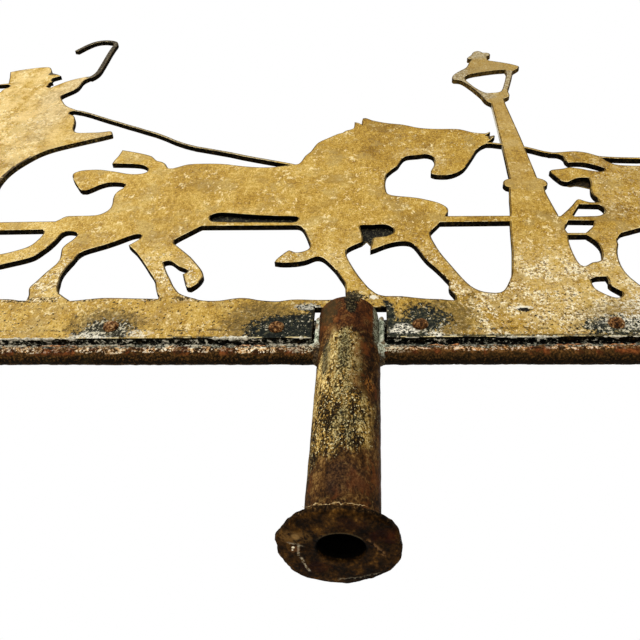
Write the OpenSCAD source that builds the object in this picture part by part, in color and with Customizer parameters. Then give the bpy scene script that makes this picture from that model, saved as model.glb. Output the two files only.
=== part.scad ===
// Coach-and-horses weathervane. Millimetres, +Z up, real size.
// X runs along the vane: the leading horses face +X, the coach is at -X.
// The plate's gold face looks to -Y. The origin is the centre of the lower end
// face of the fixed spindle the vane turns on, where its threaded socket opens.

/* [Silhouette plate] */

// Thickness of the cut plate
plate_thickness = 4; // [2:0.1:4.5]

// How far the plate's gold face stands before the axis of the tube
plate_front = 5; // [5:0.1:8]

// Metal left behind the two closed grooves (under the belly, behind the knee)
groove_web = 0.8; // [0.4:0.1:1.5]

// Gap between the pivot tube and each side of the notch cut in the plate
notch_side_gap = 3.7; // [1:0.1:8]

// Gap between the top of the pivot tube and the top of the notch
notch_top_gap = 3.5; // [1:0.1:8]

// Height of the plate's lower edge above the axis of the cross rods
plate_foot = 8.5; // [6:0.1:14]

// Number of spokes in the coach's front wheel
front_spokes = 10; // [6:1:16]

// Number of spokes in the coach's rear wheel
rear_spokes = 12; // [6:1:18]

/* [Cross rods and backing strips] */

// Diameter of the round cross rods
rod_diameter = 10; // [6:0.5:16]

// How far the left rod and strip reach from the tube's axis
left_reach = 585; // [300:5:600]

// How far the right rod and strip reach from the tube's axis
right_reach = 440; // [250:5:450]

// Thickness of the flat strips welded on top of the rods
strip_thickness = 3; // [2:0.5:6]

// Height of the strips' top edge above the axis of the rods
strip_top = 28; // [24:0.5:32]

/* [Pivot tube] */

// Outside diameter of the pivot tube (1 inch pipe)
tube_diameter = 33.7; // [26.9:0.1:48.3]

// Wall of the pivot tube
tube_wall = 3.25; // [2:0.05:5]

// Height of the tube's top above the axis of the rods
tube_top = 30.5; // [20:0.5:45]

// Distance from the axis of the rods down to the collar's lower face
collar_drop = 116; // [80:1:200]

// Thickness of the collar at the tube's foot
collar_thickness = 4.5; // [4:0.5:12]

// Diameter of the hole in the collar
collar_hole = 20.8; // [16:0.1:26]

// Thickness of the plug that closes the tube's top
plug_thickness = 12; // [6:0.5:20]

/* [Rivets] */

// Diameter of the rivets' shanks
rivet_shank = 4.8; // [3:0.1:8]

// Diameter of the rivets' heads
rivet_head = 9; // [6:0.1:14]

// Height of the rivets' domed heads
rivet_head_height = 2.6; // [1:0.1:5]

// Height of the rivets above the axis of the rods
rivet_height = 19; // [14:0.5:26]

// Outside diameter of the washers behind the strips
washer_diameter = 11; // [8:0.5:16]

// Thickness of the washers behind the strips
washer_thickness = 1.2; // [0.6:0.1:3]

/* [Spindle] */

// Diameter of the fixed spindle
spindle_diameter = 20; // [14:0.5:24]

// How far the spindle's lower end sits above the collar's lower face
spindle_recess = 14; // [0:1:40]

// Diameter of the thrust ball
ball_diameter = 12.7; // [8:0.1:18]

// Radius of the threaded socket in the spindle's lower end (M12 core)
socket_radius = 5.1; // [3:0.1:7]

// Length of the threaded socket
socket_length = 30; // [15:1:60]

// Length of the bush in the tube's upper end
bush_length = 30; // [15:1:50]

/* [Hidden] */

$fn = 48;

tube_r = tube_diameter / 2;
bore_r = tube_r - tube_wall;
rod_r = rod_diameter / 2;
rod_z = collar_drop - spindle_recess;      // height of the rods' axis
collar_z = -spindle_recess;                // the collar's lower face
tube_foot_z = collar_z + collar_thickness; // the tube's lower end
tube_top_z = rod_z + tube_top;
plug_z = tube_top_z - plug_thickness;      // the plug's lower face
front_y = -plate_front;                    // the plate's gold face
back_y = front_y + plate_thickness;        // plane where plate and strips meet
strip_y = back_y + strip_thickness;        // the strips' rear face
washer_y = strip_y + washer_thickness;
notch_w = tube_r + notch_side_gap;
notch_z = tube_top + notch_top_gap;
ball_r = ball_diameter / 2;
ball_z = plug_z - ball_r + 2.5;            // the ball sits 2.5 deep in the plug's cup
spindle_top_z = ball_z - ball_r + 2.5;     // and 2.5 deep in the spindle's cup
run_gap = 0.08;                            // radial running clearance of the bush
ball_gap = 0.3;                            // grease gap between ball and upper cup
// each rivet: X, and how far it was set above or below its line
rivets_left = [[-137, -0.5], [-41, -2], [-240, 0], [-340, 0.5], [-440, -0.5], [-540, 0]];
rivets_right = [[39, 0], [144, 0], [245, -0.5], [340, 0.5], [425, 0]];

// ---- outline helpers. A point [x, z] is smooth, [x, z, 1] is a corner. ----

function at(l, i) = l[(i + len(l)) % len(l)];
function flat2(p) = [p[0], p[1]];
function unit(v) = v / max(norm(v), 0.0001);
function way(l, i) = len(at(l, i)) == 3 ? [0, 0]
    : unit(flat2(at(l, i + 1)) - flat2(at(l, i - 1)));
// Middle of the curve from point i to the next one
function mid(l, i) = let(a = flat2(at(l, i)), b = flat2(at(l, i + 1)), d = norm(b - a),
    u = way(l, i), v = way(l, i + 1), c = unit(b - a),
    s = norm(u) == 0 ? c : u, e = norm(v) == 0 ? c : v) (a + b) / 2 + (s - e) * d / 8;
function bent(l, i) = len(at(l, i)) == 2 || len(at(l, i + 1)) == 2;
function smooth(l) = [for (i = [0:len(l) - 1]) each
    bent(l, i) ? [flat2(l[i]), mid(l, i)] : [flat2(l[i])]];
function shift(l, dx) = [for (p = l) len(p) == 3 ? [p[0] + dx, p[1], 1] : [p[0] + dx, p[1]]];
// The same smoothing for a line with two ends
function omid(l, i) = let(n = len(l), a = l[i], b = l[i + 1], d = norm(b - a),
    s = unit(l[i + 1] - l[max(i - 1, 0)]), e = unit(l[min(i + 2, n - 1)] - l[i]))
    (a + b) / 2 + (s - e) * d / 8;
function open_smooth(l) = concat([for (i = [0:len(l) - 2]) each [l[i], omid(l, i)]],
    [l[len(l) - 1]]);
// Band of width w along the line of points l
function side(l, i) = let(n = len(l), v = unit(l[min(i + 1, n - 1)] - l[max(i - 1, 0)])) [-v[1], v[0]];
function band(l, w) = concat([for (i = [0:len(l) - 1]) l[i] + side(l, i) * w / 2],
    [for (i = [len(l) - 1:-1:0]) l[i] - side(l, i) * w / 2]);

// ---- one horse pair, cut as one outline: runs of points ----

// Far horse's tail, back and withers
wheel_top = [[-191.5, 236.5, 1], [-186, 234.5], [-178, 231.5], [-170, 228], [-164, 224.5],
    [-160.5, 220], [-157.5, 216.5], [-153, 214.5], [-149.5, 211], [-147.5, 207],
    [-145.5, 204, 1], [-142, 203.8], [-137, 206.5], [-131, 209.5], [-120, 210],
    [-110, 209.5], [-100, 208], [-90, 205], [-80, 202.8], [-70, 201.5], [-62, 201.8]];
// Neck, ears, forehead, muzzle, jaw, throat and chest
head_run = [[-44.5, 205.5, 1], [-43, 208], [-41.5, 213], [-40, 218.5], [-38, 222],
    [-36, 226], [-34.5, 231], [-33, 236], [-31.5, 239.5], [-28, 243.5], [-23, 248],
    [-19, 251.8], [-15.5, 254.6], [-12.5, 256], [-10, 259.3], [-7, 261], [-4.5, 262.5],
    [-3.3, 265], [-3, 269], [-3, 275, 1], [0.5, 273.3], [3, 270.5, 1], [3.2, 276],
    [3.8, 281.5, 1], [6, 282], [8.5, 280.5], [11, 278], [15, 275.5], [20, 273],
    [25, 271], [31, 269.3], [37, 267.5], [43, 264.3], [48, 261.5], [53, 259.8],
    [60, 258.4], [68, 257.6], [76, 257.2], [82, 256], [87, 253], [91, 250.3],
    [95, 248.8], [100, 247.7], [102, 248], [104, 249.8], [105, 249.8], [105, 248.4],
    [101.5, 244.9, 1], [101.5, 243.3, 1], [104.5, 242.8], [107.3, 243.8], [108, 243],
    [106, 238.8], [101.5, 232.7, 1], [99.5, 229.5],
    [97.5, 228], [95, 225.5], [92, 221], [89.5, 215], [87, 209], [84, 202],
    [81, 195.5], [78, 190.5], [74, 186.5], [70, 184], [66, 182.8], [61, 183],
    [57, 184], [54.8, 186, 1], [55, 190], [57, 195.5], [58.3, 201], [58.5, 206.5],
    [57.8, 211], [55.5, 214.2], [51.5, 215.5], [47, 214.5], [42, 214], [38, 213],
    [35.3, 210], [33, 204.5], [31, 199], [28, 195], [25, 190.5], [22.6, 186],
    [21.7, 180], [21.5, 171], [22, 163], [23, 159.2], [26, 156.8], [32, 155.2],
    [38, 154], [45, 152], [51.5, 149], [57, 146], [61, 142.3], [63.2, 138.5],
    [63.3, 134], [62, 130], [60, 125.5], [57, 121, 1], [54.5, 117], [51.5, 112.5],
    [49.6, 108.5, 1]];
// Foremost leg, raised knee, second foreleg, raised hoof
fore_run = [[50.3, 103], [51.8, 97], [53.5, 91], [55.5, 85], [58, 79], [61, 72],
    [64, 65], [67, 58.5], [70, 53.3], [73, 50], [77, 47.6], [82, 46.6], [86, 46.2, 1],
    [86, 30, 1], [60, 30, 1], [60, 40, 1], [60.3, 43], [59, 46.5], [57.5, 50],
    [57.3, 53.5], [57.8, 57], [56, 61], [53, 67], [49.5, 73], [46, 78.5], [43.5, 84],
    [41.5, 89], [39.5, 94], [37, 98], [34, 99.4], [30, 99.5], [25, 98.2], [20, 95.8],
    [15, 92.5], [11, 90.3, 1], [11.2, 94], [11.6, 98.5, 1], [8.7, 104, 1], [5.6, 99.5, 1],
    [2, 97],
    [-1.5, 94.3], [-3.8, 91.5], [-4, 88], [-3.2, 83], [-1.5, 78], [1, 71.5], [4, 64.5],
    [7, 58.5], [10, 53], [13, 49], [16, 46], [20, 44.6, 1], [20, 30, 1], [-3, 30, 1],
    [-3, 46, 1], [-3.5, 50], [-3.6, 54], [-4.5, 58], [-7, 63.5], [-10, 70], [-13, 75],
    [-16, 79.5], [-19, 83], [-22, 84.3], [-24.5, 83.5], [-28, 81], [-33, 79],
    [-39, 78.2], [-45, 78.3], [-49, 79.3, 1], [-48, 82.5], [-45.5, 86.5], [-43, 90],
    [-41, 92, 1], [-39, 91], [-36.5, 89.5], [-33, 90], [-30, 91.5], [-28.3, 93.5],
    [-27.6, 96.5], [-28.8, 101], [-30.5, 107], [-32.5, 113], [-34.5, 117.5],
    [-37, 120], [-41, 120.8]];
// Belly, swinging hind leg, second hind leg
hind_run = [[-50, 121.2], [-65, 121.5], [-80, 122.2], [-92, 123], [-100, 123.2],
    [-104, 121.6], [-108, 117.5], [-113, 112.3], [-117.5, 107.5], [-119, 104.5],
    [-118.3, 101.5, 1], [-115.5, 98.5], [-112, 94.8], [-108, 90.5], [-104, 86],
    [-100, 80.5], [-96.5, 75.5], [-93.5, 70.5], [-92, 66], [-92.7, 61.5],
    [-94.5, 57.5], [-97.5, 54, 1], [-100, 54.5], [-102, 58.5], [-104, 63.5],
    [-105.5, 68, 1], [-103.5, 69.5], [-103, 71.5], [-106, 73.8], [-110, 76],
    [-113.5, 79.5], [-116.5, 81.8], [-119.5, 81.7], [-120.5, 80, 1], [-118.5, 75.5],
    [-115.5, 69], [-112, 62.5], [-109.5, 57.5], [-107, 53.5], [-104, 49.5],
    [-100.5, 47], [-96, 45], [-92, 43.5, 1], [-92, 30, 1], [-116, 30, 1],
    [-115.5, 46.5, 1], [-118, 50.5], [-120, 56], [-121.5, 60.5], [-124.5, 66.5],
    [-128, 71.5], [-132, 78], [-137, 85.5], [-142, 92.5], [-146.5, 97.5],
    [-149, 100.5, 1]];
// Haunch, standing hind leg, kicked-back leg and near tail of the rear pair
wheel_rear = [[-146.5, 103.5], [-144, 107], [-143, 110.5], [-144.5, 113], [-148, 112.8],
    [-152, 110.5], [-158, 106], [-165, 101.5], [-172, 97.8], [-178, 94.2],
    [-180.5, 90], [-181.5, 84], [-183, 78], [-184, 72], [-184, 66.5], [-183, 61.5],
    [-182, 56], [-180, 51], [-177, 48.5], [-174, 46], [-170.5, 43.5, 1],
    [-170.5, 30, 1], [-198, 30, 1], [-197.5, 45, 1], [-198, 49], [-199.8, 53.5],
    [-200.3, 57], [-199, 60.5], [-197.3, 65.5], [-195.8, 70.5], [-194, 75],
    [-192, 80], [-191.3, 84.5], [-191.8, 88.5], [-193.2, 94], [-194, 98.5],
    [-192.8, 103], [-190.3, 107.5], [-189, 112], [-189, 114.5], [-191, 117],
    [-195, 118.4], [-198.5, 118], [-200.5, 115], [-201.5, 109.5], [-203.5, 102],
    [-206.5, 95.5], [-210, 89.5], [-215.5, 86], [-222, 83.3], [-229, 80.5],
    [-236, 78], [-243, 75.5], [-249, 75, 1], [-250.5, 80], [-249, 86], [-245, 90.5],
    [-240, 91.8], [-235, 92.4], [-229, 94.5], [-224, 97], [-219.5, 99.8],
    [-216.8, 103], [-215, 108], [-213.8, 113.5], [-214, 117.5], [-216, 121, 1],
    [-210.5, 131.4, 1], [-208, 134], [-205, 137.5], [-200, 138], [-192, 138],
    [-184, 138.3], [-180, 139.8], [-176.5, 144], [-175.3, 149], [-176, 155],
    [-177.3, 161], [-177.6, 167], [-176.3, 171.5], [-174, 175, 1], [-173.3, 178],
    [-174, 181], [-177, 182.8], [-182, 183.8], [-187, 183.8], [-190.5, 182.5],
    [-194, 180], [-198, 175.8], [-201.5, 173, 1], [-205.5, 173.3, 1], [-208, 176],
    [-211, 180.5], [-215, 186.5], [-218.3, 192], [-220.5, 198.5], [-219, 201.5],
    [-215, 204], [-208, 204.8], [-200, 204.5], [-192, 202.3], [-184, 199.8],
    [-177, 197.2], [-171, 196.2], [-165.5, 196.5], [-162, 198.5], [-161.3, 201, 1],
    [-162.5, 205], [-165, 208], [-169, 210.5], [-175, 212], [-184, 213],
    [-193.5, 213.7, 1], [-193.3, 219], [-192, 226]];
// Tail and back of the leading pair
lead_top = [[143.5, 213.3, 1], [150, 213.3], [157, 214], [163, 214.2], [168, 213],
    [172, 211], [176, 208], [180, 204.5, 1], [181.5, 200], [184, 196], [187, 192.8],
    [193, 191], [203, 190], [215, 190.5], [230, 192], [245, 194.5], [260, 198],
    [272, 201.5], [283, 204], [292, 205.5]];
// Haunch, standing hind leg, traces and near tail of the leading pair
lead_rear = [[197.5, 103.5], [200, 107], [201, 110.5], [199.5, 113.5], [196, 113.8],
    [190, 112.5], [185, 111.3], [181, 110], [175, 107.5], [169, 105], [166, 101],
    [164.3, 97], [164, 93], [162, 87], [160.5, 80], [160, 72], [160.5, 66],
    [162, 60], [164, 55.5], [166, 51.5], [169, 48], [173, 45.5, 1], [173, 30, 1],
    [128, 30, 1], [128, 120, 1], [135.8, 126.3, 1], [138, 129], [142, 134],
    [146, 139.5], [149, 144.3], [151.3, 146.5], [154, 144.8], [158, 142.3],
    [164, 142.3, 1], [164, 146], [162.5, 150], [161.8, 155], [162.5, 160],
    [163.5, 165, 1], [160, 166.8], [157, 168.4], [154, 169], [151, 168.1],
    [148.8, 169.2, 1], [147.3, 169.4], [145, 170.8], [143, 174.5],
    [141, 179], [139.2, 185, 1], [141, 187], [145, 187.8], [150, 188.7],
    [154, 190.3], [157.5, 189.3], [162, 187.7], [167, 185.3], [172, 183.5],
    [175.5, 183.3], [178, 185.3], [177.5, 188], [174, 191], [169.5, 194.3],
    [164.5, 196.4], [159, 197], [154.8, 196.6, 1], [153.3, 200], [153.2, 204.5],
    [152, 208], [149, 210.5], [143.5, 211.2, 1]];
// Openings between the leaders' hocks, the traces and the lamp's foot
hock_holes = [
    [[150.5, 139.7, 1], [143.5, 127, 1], [144.5, 125.3, 1], [158, 125.3], [161.5, 126.3],
        [164, 128.8], [165.2, 132], [164.5, 135.8], [163, 138.6, 1]],
    [[139.7, 120.5, 1], [137.3, 116], [135.3, 110.8, 1], [136.2, 106.3, 1], [147.2, 106, 1],
        [150, 109.2], [153.5, 113.7], [155.5, 119.6, 1]],
    [[135.8, 103.6, 1], [135, 97], [134.8, 89], [135.3, 80], [136.3, 73.8], [138.2, 71],
        [141, 72.2], [144, 74.6], [147, 75.3], [149.5, 76.6], [150.8, 79.5], [152.2, 85],
        [152.5, 91], [151.2, 96], [149.3, 100], [147, 103.5, 1]],
    [[139.5, 58, 1], [139.4, 53], [140.3, 49], [143, 45.8], [146, 43], [149.2, 41.2],
        [152, 41.5], [153.9, 44], [153.3, 46.8], [150.6, 50], [148.6, 53.3], [149.3, 57],
        [148.8, 60.3, 1], [143, 59.9]]];

// ---- lamp ----
lamp_run = [[80, 30, 1], [80, 46.5, 1], [86, 46.8], [89.3, 49.8], [92, 55.5], [94.5, 62],
    [96, 69], [97.5, 79], [99, 89.5], [100, 99], [101, 109], [102.2, 120.5],
    [103.2, 127.3], [104, 132], [105, 140], [106, 150], [107, 157], [107.8, 163.7, 1],
    [105.8, 165], [104.5, 168], [104.7, 171.5], [106.5, 174.5], [110, 176.2, 1],
    [110.3, 190], [110.8, 205], [111.2, 220], [111.5, 240], [112, 262], [112.4, 285],
    [112.6, 302.5, 1], [110.8, 305], [108.6, 308.3], [107.2, 313], [106, 319.5], [103.3, 327],
    [100, 336], [97, 343], [94, 349.5], [91.5, 353.5], [88.5, 355.3], [85.2, 356],
    [84.3, 360], [85.5, 365.5], [88.5, 371], [93, 376.5], [98, 382], [100.5, 386.5],
    [102, 391.5], [104, 397], [106.5, 403.5, 1], [103, 404.5], [102.6, 407.5],
    [105, 411.3], [107.5, 415.5], [109, 420], [111.3, 423.5], [114.3, 424.6],
    [117, 423], [118.8, 419.8], [121.5, 419.6], [124.3, 418], [125.3, 415],
    [124.5, 411.5], [121.7, 409.8, 1], [121.2, 404], [122.3, 399.3], [126, 397.3],
    [132, 394], [138, 390.6], [143, 387], [146.5, 383.7], [147.8, 380.8], [145, 376],
    [141.5, 371.8], [140, 368], [138.5, 361], [136.5, 353], [134, 343], [131.5, 333.5],
    [130, 326], [130.3, 321], [129.8, 317], [127.5, 313.8], [124.5, 311.8, 1],
    [124.3, 300], [124.9, 288], [125.6, 273], [126.5, 255], [127.2, 240],
    [127.8, 222], [128.3, 205], [128.8, 190], [129.2, 176.2, 1], [132.5, 174],
    [134.8, 170.5], [134.6, 166.5], [132, 163.6, 1], [131.5, 157], [132.2, 148],
    [133.2, 138], [134.3, 128, 1], [134, 100, 1], [134, 30, 1]];
lamp_pane = [[97, 362], [98.7, 365], [102, 367.6], [107, 369.5], [112, 371], [118, 372.6],
    [124, 374], [129, 374.6], [133.6, 374.8, 1], [134.2, 370],
    [133.4, 364], [132, 357], [130, 348], [127.5, 338], [125.5, 331], [123.5, 327],
    [120.5, 325.2], [114.5, 324.6], [110.8, 325.2], [108.3, 327.8], [105.3, 332.5],
    [102, 338.8], [100, 344], [98.4, 348], [97.2, 351.5], [96.2, 355.5], [96.2, 359]];

// ---- driver on the box ----
driver_run = [[-257, 317.5, 1], [-262.3, 314.2, 1], [-261.8, 309.8, 1], [-257.2, 306.8],
    [-254, 302.5], [-251.5, 296], [-249.6, 289], [-248, 281], [-245.5, 275.5], [-242, 271.5], [-237, 270.3],
    [-230, 270.3], [-222, 270.3], [-216, 271.3], [-212.5, 272], [-210, 270.3],
    [-208.5, 265.3, 1], [-215, 261.8], [-222, 258.3], [-230, 254.5], [-238, 250.5],
    [-246, 246.5], [-254, 241.5], [-260, 236], [-264.5, 229.5], [-268.5, 222],
    [-272, 214], [-274.5, 205], [-275.5, 195], [-275, 185], [-273.5, 175],
    [-272, 163, 1], [-290, 159, 1], [-384, 160, 1], [-384, 292, 1],
    [-379, 312], [-370, 334], [-360, 350], [-352, 360], [-350, 365], [-350, 370],
    [-348.5, 373.5], [-346.5, 375.5], [-345.8, 379, 1], [-347.2, 381.5], [-350, 383.1],
    [-358, 382.8], [-368, 380.5], [-377, 376.5, 1], [-378, 378.8, 1], [-368, 382.9],
    [-358, 384.9], [-350.5, 386.3, 1], [-355, 400],
    [-361, 416.3, 1], [-352, 420.7], [-338, 424.7], [-324, 426.3], [-319.3, 422],
    [-316, 415], [-313.3, 409.3, 1], [-306, 405], [-301, 400.6, 1], [-307, 396.3, 1],
    [-307.9, 393], [-307.4, 390.2], [-304.8, 386.2], [-307, 384.6, 1], [-306.3, 382.6],
    [-307, 381], [-305.9, 378], [-306.8, 375.6], [-304.8, 373], [-302, 371.7],
    [-299, 375], [-295.7, 379.2], [-290.7, 385.3], [-284.3, 390.4], [-279, 393.2],
    [-273, 396], [-266, 396.6, 1], [-270.7, 390], [-272.9, 384], [-272.7, 376.5], [-273.2, 368],
    [-276, 362], [-280, 356.5], [-283.3, 350.5], [-281, 344.5], [-276, 335.5],
    [-271.5, 329], [-265, 323]];
whip_line = [[-269, 393], [-266, 399], [-264.6, 406], [-264.8, 415], [-266, 433],
    [-268, 459], [-268.8, 476], [-269, 485], [-271.5, 492], [-277.5, 496],
    [-285.5, 497.8], [-293.5, 495.5], [-299.5, 488.5], [-304, 479.5], [-308, 470]];
rein_line = [[-265, 319], [-250, 313.3], [-240, 307.6], [-230, 301.2], [-220, 294.9],
    [-210, 289], [-200, 282.8], [-190, 277], [-180, 270.8], [-170, 265], [-160, 257.8],
    [-150, 249.8], [-140, 243.2], [-130, 238], [-120, 234.2], [-110, 230.3],
    [-100, 226.3], [-90, 221.6], [-80, 217.4], [-70, 213.4], [-60, 209.4], [-50, 205.3],
    [-44, 202]];
lead_rein_line = [[94, 230.5], [98, 231.3], [104, 230.8], [111, 228.5], [119, 226],
    [128, 222.6], [134, 218.8], [140, 214.7], [146, 212.2], [153, 211]];
back_rein_line = [[173, 206.5], [181, 203.9], [190, 202.3], [205, 200.8], [225, 201],
    [245, 203], [265, 205.3], [285, 207.3], [302, 208.5]];
// Pole from the front axle past the horses' flanks to the leaders' traces
pole_run = [[-335, 132, 1], [-235, 131.6, 1], [-212, 131.4, 1], [-100, 127.3, 1],
    [-38, 126, 1], [62, 128.6, 1], [103, 127.6, 1], [150, 125.3, 1], [150, 120, 1],
    [102, 120.6, 1], [57, 121.1, 1], [-37, 120.4, 1], [-104, 121.9, 1],
    [-216, 120.8, 1], [-335, 121, 1]];

// ---- coach ----
coach_run = [[-272, 163, 1], [-290, 159, 1], [-340, 160, 1], [-366, 159], [-378, 151],
    [-388, 140], [-400, 130], [-416, 124.5], [-436, 123], [-456, 125], [-472, 131],
    [-483, 141], [-490, 154], [-496, 168], [-505, 178], [-519, 184.5], [-540, 186.5],
    [-560, 187], [-574, 190], [-583, 198], [-588, 211], [-589.5, 226], [-588.5, 244, 1],
    [-560, 248.5], [-530, 250], [-509, 251, 1], [-506.5, 262], [-506, 279, 1],
    [-511.5, 284, 1], [-510, 288.5, 1], [-490, 293.5], [-455, 297], [-420, 297.5],
    [-384, 293, 1], [-384, 200, 1]];
windows = [
    [[-402.5, 222, 1], [-402.5, 251], [-405, 259], [-412, 262], [-419, 259], [-421.5, 251],
        [-421.5, 222, 1]],
    [[-434.5, 222, 1], [-434.5, 253], [-437.5, 262], [-446, 266], [-454.5, 262],
        [-457.5, 253], [-457.5, 222, 1]],
    [[-470.5, 222, 1], [-470.5, 251], [-473, 259], [-480, 262], [-487, 259], [-489.5, 251],
        [-489.5, 222, 1]]];
// A seated passenger, feet at z = 0: coat, plain round head and top hat
passenger_run = [[-17, -6, 1], [-18, 20], [-17, 38], [-13.5, 50], [-8, 56.5], [-5.5, 60, 1],
    [4, 60, 1], [7, 56.5], [12.5, 49], [17.5, 37], [19, 22], [24, 14], [30, 10], [31, -6, 1]];
// Plain profile looking to +X, the neck's foot at z = 0
face_run = [[-5.5, -2, 1], [-6, 3], [-8.5, 7.5], [-9.8, 13], [-9, 18.5], [-5.5, 23], [0, 25],
    [5.5, 23.5], [8.3, 20], [8.6, 17.3], [8, 15.4], [10.7, 11.6], [8.5, 10.4, 1],
    [9.3, 8.6], [8.5, 7.2], [9.4, 4.6], [7.5, 2.5], [4, 1.6], [4, -2, 1]];
hat_run = [[-15, 16.5, 1], [-15.8, 19], [-9.3, 20, 1], [-10.5, 41, 1], [0, 42.3], [10, 42, 1],
    [9.3, 21, 1], [15.8, 21.5], [16, 19]];
guard_run = [[-586, 240, 1], [-590, 262], [-588.5, 282], [-583, 298], [-576, 306.5],
    [-571, 310, 1], [-561, 310, 1], [-556, 305], [-549, 296], [-543.5, 282],
    [-540, 266], [-538, 246, 1]];
horn_line = [[-560, 317], [-548, 320], [-538, 324.5], [-526, 331.5]];
horn_arm = [[-566, 286], [-553, 290], [-547.5, 299], [-546, 310], [-545, 322]];

// Twice the signed area of the outline p, so that every outline can be laid the same way round
function turn(p) = [for (q = p) 1] * [for (i = [0:len(p) - 1]) cross(p[i], p[(i + 1) % len(p)])];
module sheet(p) { polygon(turn(p) > 0 ? p : [for (i = [len(p) - 1:-1:0]) p[i]]); }
module outline(l) { sheet(smooth(l)); }

// Ring, hub and spokes of a wheel, w wide at the rim
module wheel(cx, cz, r, spokes, w) translate([cx, cz]) {
    difference() { circle(r); circle(r - w); }
    circle(w * 1.5);
    for (i = [0:spokes - 1]) rotate(i * 360 / spokes + 8)
        translate([w, -w * 0.34]) square([r - w * 1.5, w * 0.68]);
}

module coach_2d() {
    difference() {
        union() { outline(coach_run); outline(driver_run); }
        translate([-335, 98]) circle(57);
        translate([-525, 113]) circle(73);
        for (w = windows) outline(w);
    }
    wheel(-335, 98, 58, front_spokes, 7);
    wheel(-525, 113, 74, rear_spokes, 7.5);
    // perch under the body, its two struts and the front bolster
    sheet(band([[-335, 98], [-400, 104], [-460, 108], [-525, 113]], 7));
    sheet([[-414, 105], [-408, 105], [-408, 132], [-414, 132]]);
    sheet([[-446, 108], [-440, 108], [-440, 132], [-446, 132]]);
    sheet([[-342, 98], [-328, 98], [-324, 163], [-346, 163]]);
    sheet([[-531, 113], [-519, 113], [-516, 190], [-534, 190]]);
    // passengers, trunk and the guard with a horn
    for (x = [-418, -468]) translate([x, 293]) {
        outline(passenger_run);
        translate([0, 60]) { outline(face_run); outline(hat_run); }
    }
    sheet([[-505, 288], [-505, 309], [-489, 311], [-489, 290]]);
    outline(guard_run);
    translate([-565.5, 310]) { outline(face_run); outline(hat_run); }
    sheet(band(horn_line, 3.4));
    sheet(band(horn_arm, 7));
    sheet([[-529, 328], [-526, 327.5], [-516.5, 330.5], [-522, 341.5], [-528, 334]]);
    sheet(band(open_smooth(whip_line), 5));
}

module horses_2d() {
    outline(concat(wheel_top, head_run, fore_run, hind_run, wheel_rear));
    sheet(band(rein_line, 2.6));
    outline(concat(lead_top, shift(head_run, 344), shift(fore_run, 344),
        shift(hind_run, 344), lead_rear));
    sheet(band(lead_rein_line, 2.6));
    sheet(band(back_rein_line, 2.6));
}

// The ground strip the whole scene stands on, with the notch over the tube
module ground_2d() {
    outline([[-600, plate_foot, 1], [-601, 30], [-598, 42], [-575, 44], [-540, 43],
        [-505, 45], [-460, 43], [-410, 44.5], [-370, 43], [-320, 45], [-280, 43.5],
        [-240, 44], [-213, 45], [-206, 44.5], [-202, 43.5], [-185, 43], [-169, 42.7],
        [-160, 44], [-150, 45.2], [-140, 45], [-130, 44.5], [-118, 44], [-106, 43.4],
        [-94, 43.8], [-90, 42.5], [-85, 41.6], [-78, 41.6], [-72, 43], [-66, 44],
        [-60, 43.5], [-55, 42], [-48, 40.9], [-42, 40.6], [-35, 42], [-28, 42],
        [-20, 41.5], [-10, 41.6], [-3, 43], [5, 44], [12, 44.5], [20, 44.5],
        [30, 44.2], [36, 43], [45, 41.6], [52, 41.2], [59, 40.2], [64, 42], [75, 45.4],
        [84, 46.3], [120, 46], [170, 44.5], [200, 43.4], [235, 44.3], [262, 42.2],
        [285, 43.8], [310, 41.8], [345, 43.6], [375, 44.3], [402, 41.8], [430, 45.5],
        [446, 43], [453, 36], [455, 24], [452, plate_foot, 1]]);
}

module plate_2d() {
    difference() {
        union() {
            ground_2d();
            horses_2d();
            sheet([for (p = pole_run) flat2(p)]);
            outline(lamp_run);
            coach_2d();
        }
        outline(lamp_pane);
        for (h = hock_holes) outline(h);
        translate([-notch_w, 0]) square([2 * notch_w, notch_z]);
        for (p = concat(rivets_left, rivets_right)) translate([p[0], rivet_height + p[1]]) circle(d = rivet_shank);
    }
}

// The grooves that show dark but let no light through: under the belly, behind the raised
// knee, and a small one over the leaders' hock
module grooves_2d() {
    outline([[148.8, 169.2, 1], [150, 169.8], [153, 172.2], [156.5, 174.3], [160, 174.8],
        [164.3, 174.4, 1], [164.5, 170], [163.7, 165], [163.2, 162.6, 1], [158, 158, 1],
        [149, 160, 1]]);
    outline([[-100, 133.7], [-99.3, 130], [-97, 127.6], [-90, 126.7], [-80, 125.9],
        [-60, 125.2], [-50, 124.8], [-41, 124.6], [-38.3, 126.6], [-38.3, 130],
        [-41, 131.7], [-50, 132.3], [-60, 133.3], [-70, 134.6], [-80, 136.3],
        [-88, 137.7], [-94, 138], [-98, 136.6]]);
    outline([[4, 118.6, 1], [6, 119.4], [12, 119.2], [19, 119.6], [22.5, 118.6],
        [25.3, 115.5], [26.4, 112], [25.2, 108.8], [21, 106.2], [15.5, 105.2], [13, 104],
        [12.2, 101], [11.8, 96, 1], [5.6, 96, 1], [6.2, 103], [6, 107], [5, 112]]);
}

module silhouette_plate() color([0.78, 0.65, 0.31])
    translate([0, 0, rod_z]) difference() {
        translate([0, back_y, 0]) rotate([90, 0, 0]) linear_extrude(plate_thickness) plate_2d();
        translate([0, back_y - groove_web, 0]) rotate([90, 0, 0])
            linear_extrude(plate_thickness + 1) grooves_2d();
    }

module tube_solid(r = tube_r, m = 0) translate([0, 0, tube_foot_z - m])
    cylinder(h = tube_top_z - tube_foot_z + 2 * m, r = r);

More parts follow.
